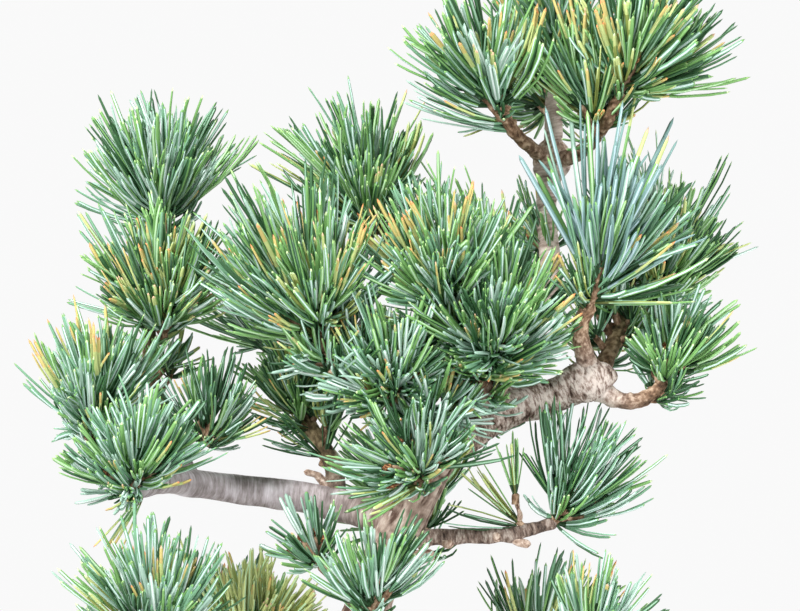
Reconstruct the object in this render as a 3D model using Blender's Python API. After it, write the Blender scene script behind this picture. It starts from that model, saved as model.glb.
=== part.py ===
"""A five-needle pine bonsai in a plain clay pot, at real size, in metres with +Z up.

The frame: the origin is the middle of the pot's flat underside, +X runs to the plant's right, and
+Y runs away from its front. The trunk leans left out of the pot, turns right at mid height and
forks into a main limb and a leader. Each bough is one tapering limb, and each cluster of needle
tufts is one closed, uneven solid. Pieces that touch keep a gap of 0.3 mm.
"""

import math
import random
from collections import namedtuple

import bmesh
import bpy
from mathutils import Vector
from mathutils.bvhtree import BVHTree

MM = 0.001
GAP = 0.3 * MM

# Pot: a rounded rectangle in plan, all sizes in millimetres
POT_WIDTH = 200.0
POT_DEPTH = 150.0
POT_HEIGHT = 50.0
POT_TAPER = 14.0  # how much narrower the foot is than the rim
POT_WALL = 7.0
POT_FLOOR = 8.0
RIM_HEIGHT = 9.0
RIM_OVERHANG = 4.0
CORNER_RADIUS = 26.0
CORNER_STEPS = 4

# Soil: level at the pot's wall, with a low flat mound round the trunk
SOIL_EDGE = 42.0
SOIL_TOP = 45.0
MOUND_SHARE = 0.55  # width of the mound against the width of the soil
SOIL_SIDE_GAP = 0.33  # level gap to the leaning wall, which is 0.3 mm measured square to it

# Trunk
FLARE_WIDTH = 9.5  # how far the root flare stands out at the soil
FLARE_HEIGHT = 10.0  # height over which the flare dies away
FLARE_LOBES = 5
FLARE_LOBE_DEPTH = 0.6
TRUNK_TAPER_POWER = 1.4  # above 1 the trunk thins faster near its foot
TRUNK_BURIAL = 6.0  # length of trunk below the soil's top that is cut away flat

# Landmarks on the plant, in millimetres
FORK = (18.0, 0.0, 224.0)
KNOT = (66.0, -3.0, 241.5)
LEADER_FOOT = (32.0, 3.0, 233.0)
WHORL = (52.0, 26.0, 316.0)
LEFT_BOUGH_FOOT = (0.0, 1.0, 194.0)
LEFT_BOUGH_BEND = (-22.0, 17.0, 200.0)
LEFT_BOUGH_END = (-86.0, -22.0, 208.0)

LIMB_SIDES = 8
TRUNK_SIDES = 12
LIMB_STEP = 10.0  # spacing of the rings along a limb

Limb = namedtuple("Limb", "name points start_radius end_radius")

# Each limb runs on one smooth curve through its points and tapers evenly. A limb starts on the
# centre line of the limb that carries it, which comes before it in this list.
LIMBS = [
    Limb(
        "trunk",
        [
            (12, 0, SOIL_TOP - TRUNK_BURIAL),
            (0, 2, 84),
            (-13, 1, 130),
            (-11, 0, 166),
            (0.5, 0, 192),
            (8.5, 0, 208),
            FORK,
        ],
        15.5,
        5.9,
    ),
    Limb("main_limb", [FORK, (33, -1, 231), (47, 0, 235.5), (58, -2, 239.5), KNOT], 5.9, 5.3),
    Limb(
        "leader",
        [LEADER_FOOT, (44, 20, 255), (52, 27, 270), (50, 28, 298), WHORL, (53, 23, 342)],
        4.2,
        3.0,
    ),
    Limb("leader_left_bough", [WHORL, (44, 12, 320.5), (38, 1, 325), (34, -4, 331)], 2.6, 2.0),
    Limb("leader_right_bough", [WHORL, (61, 14, 319), (68, -2, 327), (72, -11, 335)], 2.7, 2.1),
    Limb(
        "left_bough",
        [LEFT_BOUGH_FOOT, LEFT_BOUGH_BEND, (-58, 22, 204.5), (-77, 8, 208), LEFT_BOUGH_END],
        4.9,
        4.1,
    ),
    Limb("lower_right_bough", [(-3, 0, 188.5), (12, -2, 190), (35, -7, 191.5), (52, -8, 195.5)], 3.1, 2.0),
    Limb("knot_upright_bough", [(64, -3, 242), (61, -5, 251), (59.5, -8, 260), (63, -11, 268)], 3.2, 2.4),
    Limb("knot_right_bough", [(66, -3, 239), (76, -4, 235), (84, -5, 238), (88, -6, 242.5)], 2.7, 2.0),
    Limb("knot_back_bough", [(66, -1, 243), (72, 12, 254), (78, 26, 264), (90, 39, 270)], 2.8, 2.0),
    Limb("left_back_bough", [LEFT_BOUGH_BEND, (-23, 27, 212), (-30, 37, 223), (-36, 42, 230)], 3.4, 2.4),
    Limb("upper_left_bough", [(-70, 16, 206), (-82, 27, 232), (-86, 25, 256), (-82, 44, 292)], 2.8, 1.8),
    Limb("left_edge_bough", [(-81, 2, 208), (-93, -2, 213), (-103, -5, 225)], 2.3, 1.7),
    Limb("centre_left_bough", [(17, -1, 222), (8, -12, 233), (-10, -20, 240), (-25, -15, 254)], 2.7, 1.7),
    Limb("centre_right_bough", [(29, -2, 230), (27, -9, 243), (17, -12, 262)], 3.0, 1.9),
    Limb("centre_back_bough", [(46, 22, 259), (27, 35, 270), (4, 37, 284), (-7, 31, 294)], 2.6, 1.8),
    Limb("front_bough", [(7.5, 0, 206), (8, -14, 208), (7, -26, 214)], 2.5, 1.8),
    Limb("low_left_bough", [(-12, 1, 140), (-36, -8, 131), (-60, -26, 137), (-77, -41, 154)], 3.6, 2.1),
    Limb("low_left_back_bough", [(-30, -5, 133), (-43, 14, 133), (-66, 54, 140)], 2.6, 1.8),
    Limb("low_right_bough", [(-12, 0, 148), (12, -6, 138), (42, -14, 139), (62, -18, 153)], 3.2, 2.0),
    Limb("low_right_back_bough", [(-11, 1, 144), (10, 25, 136), (46, 53, 137)], 2.8, 1.8),
    Limb("low_back_bough", [(-4, 0, 181), (4, 26, 186), (9, 57, 193)], 2.8, 1.9),
    Limb("low_front_bough", [(-11, 0, 160), (-10, -20, 161), (-9, -36, 168)], 2.4, 1.8),
    Limb("low_left_small_bough", [(-9, 0, 170), (-18, -4, 174), (-27, -5, 181)], 2.0, 1.4),
]

Mass = namedtuple("Mass", "name base tip across deep")

# Each mass of needles opens from its base, where a bough enters it, to its domed tip. Across and
# deep are its half widths along X and along Y.
MASSES = [
    Mass("mass_crown_left_high", (-82, 45, 289), (-83, 47, 341), 26, 23),
    Mass("mass_crown_left", (-80, 15, 254), (-80, 13, 304), 25, 22),
    Mass("mass_crown_centre_high", (-8, 31, 291), (-19, 31, 339), 24, 22),
    Mass("mass_centre_left", (-23, -15, 250), (-39, -17, 312), 33, 25),
    Mass("mass_centre_right_high", (17, -12, 259), (13, -14, 317), 21, 21),
    Mass("mass_centre_right", (29, -12, 242), (43, -22, 295), 25, 23),
    Mass("mass_centre_small", (0, -16, 231), (-13, -20, 256), 12, 11),
    Mass("mass_front_centre", (7, -24, 203), (8, -32, 246), 23, 19),
    Mass("mass_top_left", (34, -4, 328), (18, -12, 377), 24, 21),
    Mass("mass_top", (53, 24, 336), (54, 26, 395), 20, 20),
    Mass("mass_top_front", (65, 2, 320), (61, -9, 373), 17, 14),
    Mass("mass_top_right", (72, -11, 331), (88, -14, 383), 25, 21),
    Mass("mass_right_front", (63, -11, 265), (69, -14, 334), 28, 23),
    Mass("mass_right", (88, -6, 240), (99, -8, 273), 16, 15),
    Mass("mass_right_back", (88, 37, 265), (100, 42, 309), 22, 20),
    Mass("mass_leader_side", (51, 29, 280), (40, 36, 312), 11, 12),
    Mass("mass_lower_right", (51, -8, 194), (62, -10, 237), 21, 18),
    Mass("mass_left_front", (-86, -21, 204), (-84, -30, 238), 26, 20),
    Mass("mass_left_middle", (-69, 16, 209), (-58, 0, 254), 14, 13),
    Mass("mass_left_edge", (-102, -5, 222), (-96, -8, 268), 19, 17),
    Mass("mass_left_back", (-35, 41, 227), (-40, 46, 259), 17, 14),
    Mass("mass_low_left_front", (-75, -39, 151), (-80, -45, 202), 28, 23),
    Mass("mass_low_left_middle", (-50, 26, 135), (-55, 28, 185), 15, 14),
    Mass("mass_low_left_small", (-26, -5, 179), (-37, -6, 203), 10, 10),
    Mass("mass_low_front", (-9, -34, 165), (-7, -40, 204), 19, 17),
    Mass("mass_low_right", (61, -18, 150), (67, -20, 189), 22, 20),
    Mass("mass_back_centre", (46, 26, 262), (15, 84, 300), 27, 26),
    Mass("mass_back_left", (-38, 47, 243), (-45, 90, 295), 25, 24),
    Mass("mass_back_top", (52, 28, 326), (47, 76, 377), 24, 22),
    Mass("mass_back_right", (90, 41, 270), (92, 93, 315), 24, 23),
    Mass("mass_back_low", (7, 53, 189), (-3, 91, 229), 21, 20),
    Mass("mass_back_low_left", (-64, 51, 137), (-77, 84, 175), 23, 21),
    Mass("mass_back_low_right", (44, 51, 133), (64, 84, 174), 22, 21),
]

MASS_SECTORS = 10
# Height along a mass and its share of the full half width there; the last height is a pole
MASS_PROFILE = [(0.0, 0.18), (0.12, 0.5), (0.36, 0.88), (0.62, 1.0), (0.84, 0.8), (0.96, 0.42)]
MASS_UNEVEN = 0.11
MASS_SEED = 41
MASS_GAP = 0.5  # growth of a mass as a cutter, which leaves about 0.3 mm on its slopes


def material(name, colour, roughness, metallic=0.0):
    made = bpy.data.materials.new(name)
    made.use_nodes = True
    shader = made.node_tree.nodes["Principled BSDF"]
    shader.inputs["Base Color"].default_value = (*colour, 1.0)
    shader.inputs["Roughness"].default_value = roughness
    shader.inputs["Metallic"].default_value = metallic
    return made


def add_object(name, bm, finish):
    """Turn a bmesh in metres into a named object with one material."""
    bmesh.ops.recalc_face_normals(bm, faces=bm.faces)
    mesh = bpy.data.meshes.new(name)
    bm.to_mesh(mesh)
    bm.free()
    made = bpy.data.objects.new(name, mesh)
    made.data.materials.append(finish)
    bpy.context.scene.collection.objects.link(made)
    return made


def smooth_path(points, step):
    """Points about a step apart on a Catmull-Rom curve through the given ones, in millimetres."""
    knots = [Vector(point) for point in points]
    padded = [2 * knots[0] - knots[1]] + knots + [2 * knots[-1] - knots[-2]]
    path = [knots[0]]
    for before, start, end, after in zip(padded, padded[1:], padded[2:], padded[3:]):
        count = max(1, round((end - start).length / step))
        for index in range(1, count + 1):
            t = index / count
            path.append(
                0.5
                * (
                    2 * start
                    + (end - before) * t
                    + (2 * before - 5 * start + 4 * end - after) * t**2
                    + (3 * start - before - 3 * end + after) * t**3
                )
            )
    return path


def bridge(bm, lower, upper):
    """Join two closed rings of vertices by a band of quads."""
    count = len(lower)
    for index in range(count):
        after = (index + 1) % count
        bm.faces.new((lower[index], lower[after], upper[after], upper[index]))


def tube(path, radii, sides, grow=0.0):
    """A closed round tube along a path; grow widens it and lengthens both ends, in millimetres."""
    bm = bmesh.new()
    path = list(path)
    path[0] = path[0] + (path[0] - path[1]).normalized() * grow
    path[-1] = path[-1] + (path[-1] - path[-2]).normalized() * grow
    across = None
    rings = []
    for index, centre in enumerate(path):
        ahead = path[min(index + 1, len(path) - 1)] - path[max(index - 1, 0)]
        ahead.normalize()
        if across is None:
            across = ahead.orthogonal()
        across = (across - ahead * across.dot(ahead)).normalized()
        up = ahead.cross(across)
        ring = []
        for side in range(sides):
            angle = 2 * math.pi * side / sides
            radius = radii(index / (len(path) - 1), centre, angle) + grow / math.cos(math.pi / sides)
            spoke = across * math.cos(angle) + up * math.sin(angle)
            ring.append(bm.verts.new((centre + spoke * radius) * MM))
        rings.append(ring)
    for lower, upper in zip(rings, rings[1:]):
        bridge(bm, lower, upper)
    bm.faces.new(rings[0])
    bm.faces.new(rings[-1])
    return bm


def limb_mesh(limb, grow=0.0):
    """The tube of one limb; the trunk also has its root flare and the flat cut at the soil."""
    path = smooth_path(limb.points, LIMB_STEP)
    is_trunk = limb.name == "trunk"
    sides = TRUNK_SIDES if is_trunk else LIMB_SIDES

    def radii(share, centre, angle):
        if not is_trunk:
            return limb.start_radius + (limb.end_radius - limb.start_radius) * share
        radius = limb.end_radius + (limb.start_radius - limb.end_radius) * (1 - share) ** TRUNK_TAPER_POWER
        height = max(0.0, centre.z - SOIL_TOP)
        flare = FLARE_WIDTH * math.exp(-height / FLARE_HEIGHT)
        return radius + flare * (1 + FLARE_LOBE_DEPTH * math.cos(FLARE_LOBES * angle))

    bm = tube(path, radii, sides, grow)
    if is_trunk:
        cut_by_plane(bm, Vector((0, 0, (SOIL_TOP - grow) * MM + GAP)), Vector((0, 0, -1)))
    return bm


def cut_by_plane(bm, point, outward):
    """Cut away all that lies on the outward side of a plane and close the cut."""
    geometry = bm.verts[:] + bm.edges[:] + bm.faces[:]
    bmesh.ops.bisect_plane(
        bm, geom=geometry, plane_co=point, plane_no=outward, dist=1e-7, clear_outer=True
    )
    open_edges = [edge for edge in bm.edges if edge.is_boundary]
    bmesh.ops.holes_fill(bm, edges=open_edges, sides=0)


def mass_mesh(mass, seed, grow=0.0):
    """A closed, uneven dome that opens from the base of a mass to its tip, grown by some millimetres."""
    dice = random.Random(seed)
    lift = (Vector(mass.tip) - Vector(mass.base)).normalized() * grow
    base = Vector(mass.base) - lift
    axis = Vector(mass.tip) + lift - base
    across = Vector((1, 0, 0))
    across = (across - axis * across.dot(axis) / axis.length_squared).normalized()
    back = axis.normalized().cross(across)
    phases = [dice.uniform(0, 2 * math.pi) for _ in range(3)]
    bm = bmesh.new()
    rings = []
    for level, (height, share) in enumerate(MASS_PROFILE):
        ring = []
        for sector in range(MASS_SECTORS):
            angle = 2 * math.pi * sector / MASS_SECTORS
            wave = math.sin(2 * angle + phases[0]) + 0.7 * math.sin(3 * angle + phases[1] + 0.6 * level)
            bump = 1 + MASS_UNEVEN * (0.6 * wave + dice.uniform(-0.5, 0.5))
            spoke = across * mass.across * math.cos(angle) + back * mass.deep * math.sin(angle)
            spoke = spoke * share * bump
            ring.append(bm.verts.new((base + axis * height + spoke + spoke.normalized() * grow) * MM))
        rings.append(ring)
    for lower, upper in zip(rings, rings[1:]):
        bridge(bm, lower, upper)
    bm.faces.new(rings[0])
    pole = bm.verts.new((base + axis) * MM)
    for index in range(MASS_SECTORS):
        after = (index + 1) % MASS_SECTORS
        bm.faces.new((rings[-1][index], rings[-1][after], pole))
    bmesh.ops.triangulate(bm, faces=bm.faces)
    bmesh.ops.recalc_face_normals(bm, faces=bm.faces)
    return bm


def surfaces_cross(first, second):
    return bool(BVHTree.FromBMesh(first).overlap(BVHTree.FromBMesh(second)))


def keep_largest(bm):
    """Delete all but the largest of the separate pieces of a bmesh."""
    waiting = set(bm.faces)
    pieces = []
    while waiting:
        piece = []
        front = [waiting.pop()]
        while front:
            face = front.pop()
            piece.append(face)
            for edge in face.edges:
                for neighbour in edge.link_faces:
                    if neighbour in waiting:
                        waiting.remove(neighbour)
                        front.append(neighbour)
        pieces.append(piece)
    pieces.sort(key=lambda piece: sum(face.calc_area() for face in piece))
    for piece in pieces[:-1]:
        bmesh.ops.delete(bm, geom=piece, context="FACES")


def carve(target, cutters):
    """Cut a solid round every cutter that crosses it, and keep the largest piece of what is left."""
    for cutter in cutters:
        whole = bmesh.new()
        whole.from_mesh(target.data)
        blade = bmesh.new()
        blade.from_mesh(cutter.data)
        crosses = surfaces_cross(whole, blade)
        whole.free()
        blade.free()
        if not crosses:
            continue
        cut = target.modifiers.new("clearance", "BOOLEAN")
        cut.operation = "DIFFERENCE"
        cut.solver = "EXACT"
        cut.object = cutter
        bpy.context.view_layer.update()
        evaluated = target.evaluated_get(bpy.context.evaluated_depsgraph_get())
        bm = bmesh.new()
        bm.from_mesh(evaluated.to_mesh())
        target.modifiers.remove(cut)
        bmesh.ops.remove_doubles(bm, verts=bm.verts, dist=GAP / 100)
        keep_largest(bm)
        bm.to_mesh(target.data)
        bm.free()


def rounded_ring(bm, width, depth, radius, height):
    """A ring of vertices on a rounded rectangle; all sizes in millimetres."""
    ring = []
    for quarter, (side_x, side_y) in enumerate([(1, 1), (-1, 1), (-1, -1), (1, -1)]):
        centre_x = side_x * (width / 2 - radius)
        centre_y = side_y * (depth / 2 - radius)
        for step in range(CORNER_STEPS + 1):
            angle = math.pi / 2 * (quarter + step / CORNER_STEPS)
            x = centre_x + radius * math.cos(angle)
            y = centre_y + radius * math.sin(angle)
            ring.append(bm.verts.new((x * MM, y * MM, height * MM)))
    return ring


def stacked_rings(rings):
    """Bands between rings given from the outer foot round to the inner one, closed at both ends."""
    bm = bmesh.new()
    made = [rounded_ring(bm, *ring) for ring in rings]
    for lower, upper in zip(made, made[1:]):
        bridge(bm, lower, upper)
    bm.faces.new(made[0])
    bm.faces.new(made[-1])
    return bm


def build_pot(finish):
    body_width = POT_WIDTH - 2 * RIM_OVERHANG
    body_depth = POT_DEPTH - 2 * RIM_OVERHANG
    inner_width = body_width - 2 * POT_WALL
    inner_depth = body_depth - 2 * POT_WALL
    inner_radius = CORNER_RADIUS - POT_WALL
    rim_radius = CORNER_RADIUS + RIM_OVERHANG
    rings = [
        (body_width - POT_TAPER, body_depth - POT_TAPER, CORNER_RADIUS - POT_TAPER / 2, 0.0),
        (body_width, body_depth, CORNER_RADIUS, POT_HEIGHT - RIM_HEIGHT),
        (POT_WIDTH, POT_DEPTH, rim_radius, POT_HEIGHT - RIM_HEIGHT),
        (POT_WIDTH, POT_DEPTH, rim_radius, POT_HEIGHT),
        (inner_width, inner_depth, inner_radius, POT_HEIGHT),
        (inner_width - POT_TAPER, inner_depth - POT_TAPER, inner_radius - POT_TAPER / 2, POT_FLOOR),
    ]
    add_object("pot", stacked_rings(rings), finish)


def build_soil(finish):
    inner_width = POT_WIDTH - 2 * RIM_OVERHANG - 2 * POT_WALL
    inner_depth = POT_DEPTH - 2 * RIM_OVERHANG - 2 * POT_WALL
    radius = CORNER_RADIUS - POT_WALL
    slope = POT_TAPER / (POT_HEIGHT - POT_FLOOR)

    def inside(height):
        narrowing = slope * (POT_HEIGHT - height) + 2 * SOIL_SIDE_GAP
        return (inner_width - narrowing, inner_depth - narrowing, radius - narrowing / 2, height)

    mound = (inner_width * MOUND_SHARE, inner_depth * MOUND_SHARE, radius, SOIL_TOP)
    rings = [inside(POT_FLOOR + GAP / MM), inside(SOIL_EDGE), mound]
    add_object("soil", stacked_rings(rings), finish)


def build_limbs(finish):
    """All limbs, each cut round the ones before it; returns their grown copies as cutters."""
    cutters = []
    for limb in LIMBS:
        target = add_object(limb.name, limb_mesh(limb), finish)
        carve(target, cutters)
        cutters.append(add_cutter(limb.name, limb_mesh(limb, GAP / MM), finish))
    return cutters


def add_cutter(name, bm, finish):
    """A hidden, slightly grown copy of a solid, which its neighbours are cut with."""
    cutter = add_object(name + "_clearance", bm, finish)
    cutter.hide_render = True
    cutter.display_type = "WIRE"
    return cutter


def build_masses(cutters, finish):
    """All masses, each cut round the limbs and round the masses before it."""
    for index, mass in enumerate(MASSES):
        seed = MASS_SEED + index
        carve(add_object(mass.name, mass_mesh(mass, seed), finish), cutters)
        cutters.append(add_cutter(mass.name, mass_mesh(mass, seed, MASS_GAP), finish))


def main():
    for existing in list(bpy.data.objects):
        bpy.data.objects.remove(existing)
    bark = material("bark", (0.42, 0.36, 0.31), 0.9)
    needles = material("needles", (0.16, 0.32, 0.24), 0.55)
    clay = material("clay", (0.23, 0.11, 0.07), 0.7)
    earth = material("earth", (0.09, 0.06, 0.04), 1.0)
    build_pot(clay)
    build_soil(earth)
    cutters = build_limbs(bark)
    build_masses(cutters, needles)
    for cutter in cutters:
        bpy.data.objects.remove(cutter)


main()
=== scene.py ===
"""The looks of a five-needle pine bonsai: bark, twigs, buds, needles, soil, pot and studio.

Lengths are millimetres in the plan and the meshes, until Heap.build turns them into metres. The
studio is in metres, and so are the materials apart from bark, whose grain keeps millimetres. The
frame is the model's: the origin is under the middle of the pot, +X to the right, +Y away from the
front, +Z up.
"""

import math
from collections import namedtuple

import bpy
import numpy as np
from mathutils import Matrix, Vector


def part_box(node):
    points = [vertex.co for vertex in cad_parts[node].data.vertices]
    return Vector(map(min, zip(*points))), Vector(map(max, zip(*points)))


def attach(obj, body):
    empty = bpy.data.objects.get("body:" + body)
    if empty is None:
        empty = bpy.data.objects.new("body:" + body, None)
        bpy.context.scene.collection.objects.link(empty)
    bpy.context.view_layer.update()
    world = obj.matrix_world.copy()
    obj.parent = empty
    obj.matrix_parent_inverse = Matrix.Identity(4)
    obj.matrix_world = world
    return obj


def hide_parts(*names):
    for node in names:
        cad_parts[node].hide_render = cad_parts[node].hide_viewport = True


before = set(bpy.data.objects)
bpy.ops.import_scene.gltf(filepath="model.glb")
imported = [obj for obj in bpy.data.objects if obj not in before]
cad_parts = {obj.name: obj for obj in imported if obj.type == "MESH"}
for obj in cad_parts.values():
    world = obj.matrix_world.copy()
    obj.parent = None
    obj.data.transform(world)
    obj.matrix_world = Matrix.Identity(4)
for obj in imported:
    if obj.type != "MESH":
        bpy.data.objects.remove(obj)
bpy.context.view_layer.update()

MM = 0.001
BODY = "root"
UP, DOWN, FRONT, RIGHT, LEFT = (0, 0, 1), (0, 0, -1), (0, -1, 0), (1, 0, 0), (-1, 0, 0)
FULL_TURN = 2 * math.pi


# ---------------------------------------------------------------- the plant's plan

SOIL_TOP = 45.0
FORK = (18.0, 0.0, 224.0)
KNOT = (66.0, -3.0, 241.5)
LEADER_FOOT = (32.0, 3.0, 233.0)
WHORL = (52.0, 26.0, 316.0)
LEFT_BOUGH_BEND = (-22.0, 17.0, 200.0)

# A limb has the bark of its own and that of its foot, its radius at the start and the end, and points
Limb = namedtuple("Limb", "node bark foot start end points")
LIMBS = [
    Limb("trunk", "old", "old", 15.5, 5.9, [
        (12, 0, SOIL_TOP - 6), (0, 2, 84), (-13, 1, 130), (-11, 0, 166), (0.5, 0, 192), (8.5, 0, 208),
        FORK]),
    Limb("main_limb", "ridged", "old", 5.9, 5.3, [
        FORK, (33, -1, 231), (47, 0, 235.5), (58, -2, 239.5), KNOT]),
    Limb("leader", "grey", "ridged", 4.2, 3, [
        LEADER_FOOT, (44, 20, 255), (52, 27, 270), (50, 28, 298), WHORL, (53, 23, 342)]),
    Limb("leader_left_bough", "young", "knobbly", 2.6, 2, [
        WHORL, (44, 12, 320.5), (38, 1, 325), (34, -4, 331)]),
    Limb("leader_right_bough", "young", "knobbly", 2.7, 2.1, [
        WHORL, (61, 14, 319), (68, -2, 327), (72, -11, 335)]),
    # The left bough keeps its dusky foot bark for 30 mm: painted shade where the bough lies shadowed near
    # the trunk.
    Limb("left_bough", "smooth", "dusky", 4.9, 4.1, [
        (0, 1, 194), LEFT_BOUGH_BEND, (-58, 22, 204.5), (-77, 8, 208), (-86, -22, 208)]),
    Limb("lower_right_bough", "dusky", "old", 3.1, 2, [
        (-3, 0, 188.5), (12, -2, 190), (35, -7, 191.5), (52, -8, 195.5)]),
    Limb("knot_upright_bough", "young", "ridged", 3.2, 2.4, [
        (64, -3, 242), (61, -5, 251), (59.5, -8, 260), (63, -11, 268)]),
    Limb("knot_right_bough", "young", "ridged", 2.7, 2, [
        (66, -3, 239), (76, -4, 235), (84, -5, 238), (88, -6, 242.5)]),
    Limb("knot_back_bough", "olive", "young", 2.8, 2, [
        (66, -1, 243), (72, 12, 254), (78, 26, 264), (90, 39, 270)]),
    Limb("left_back_bough", "olive", "dusky", 3.4, 2.4, [
        LEFT_BOUGH_BEND, (-23, 27, 212), (-30, 37, 223), (-36, 42, 230)]),
    Limb("upper_left_bough", "olive", "smooth", 2.8, 1.8, [
        (-70, 16, 206), (-82, 27, 232), (-86, 25, 256), (-82, 44, 292)]),
    Limb("left_edge_bough", "young", "smooth", 2.3, 1.7, [
        (-81, 2, 208), (-93, -2, 213), (-103, -5, 225)]),
    Limb("centre_left_bough", "young", "old", 2.7, 1.7, [
        (17, -1, 222), (8, -12, 233), (-10, -20, 240), (-25, -15, 254)]),
    Limb("centre_right_bough", "young", "ridged", 3, 1.9, [
        (29, -2, 230), (27, -9, 243), (17, -12, 262)]),
    Limb("centre_back_bough", "olive", "grey", 2.6, 1.8, [
        (46, 22, 259), (27, 35, 270), (4, 37, 284), (-7, 31, 294)]),
    Limb("front_bough", "young", "old", 2.5, 1.8, [(7.5, 0, 206), (8, -14, 208), (7, -26, 214)]),
    Limb("low_left_bough", "grey", "old", 3.6, 2.1, [
        (-12, 1, 140), (-36, -8, 131), (-60, -26, 137), (-77, -41, 154)]),
    Limb("low_left_back_bough", "olive", "grey", 2.6, 1.8, [
        (-30, -5, 133), (-43, 14, 133), (-66, 54, 140)]),
    Limb("low_right_bough", "grey", "old", 3.2, 2, [
        (-12, 0, 148), (12, -6, 138), (42, -14, 139), (62, -18, 153)]),
    Limb("low_right_back_bough", "olive", "old", 2.8, 1.8, [
        (-11, 1, 144), (10, 25, 136), (46, 53, 137)]),
    Limb("low_back_bough", "olive", "old", 2.8, 1.9, [(-4, 0, 181), (4, 26, 186), (9, 57, 193)]),
    Limb("low_front_bough", "young", "old", 2.4, 1.8, [(-11, 0, 160), (-10, -20, 161), (-9, -36, 168)]),
    Limb("low_left_small_bough", "young", "old", 2, 1.4, [
        (-9, 0, 170), (-18, -4, 174), (-27, -5, 181)]),
]

# A stub of an old side shoot, or a swelling of the knot or the whorl: its bark, its radius at the
# start and the end, how much wider it is in its middle, and its points
Stub = namedtuple("Stub", "bark start end bulge points")
STUBS = [
    Stub("knobbly", 2.6, 2.2, 0, [(-4, -1, 182), (4, -2.5, 183), (11.5, -3, 184.2)]),
    Stub("knobbly", 1.7, 1.3, 0, [(36, -7, 191), (40, -8, 188.6), (43, -8.5, 188.2)]),
    Stub("knobbly", 1.7, 1.4, 0.3, [(15.5, -3.5, 189), (16, -5.6, 187.8), (16.2, -6.6, 187)]),
    Stub("knobbly", 1.6, 1.3, 0.3, [(31.5, -7, 191), (32, -9, 190.2), (32.2, -9.8, 189.8)]),
    Stub("knobbly", 1.1, 0.7, 0, [(38, -7, 191.5), (39.5, -7.5, 197), (38, -8, 204)]),
    Stub("knobbly", 1.6, 1, 0, [(-24, 20, 204), (-28, 19, 209), (-32.5, 18, 210.5)]),
    Stub("knobbly", 1.5, 1.1, 0, [(31, -4, 236), (34, -9, 239), (36, -12, 243)]),
    Stub("knobbly", 3, 2.6, 3.7, [(51, 27.2, 309), (52, 26, 316.5), (52.5, 25, 325)]),
    Stub("ridged", 4.6, 2.2, 2.7, [
        (56, -2, 238.5), (62, -3.5, 241.2), (67, -4, 243.2), (72, -4.5, 243.6)]),
]

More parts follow.
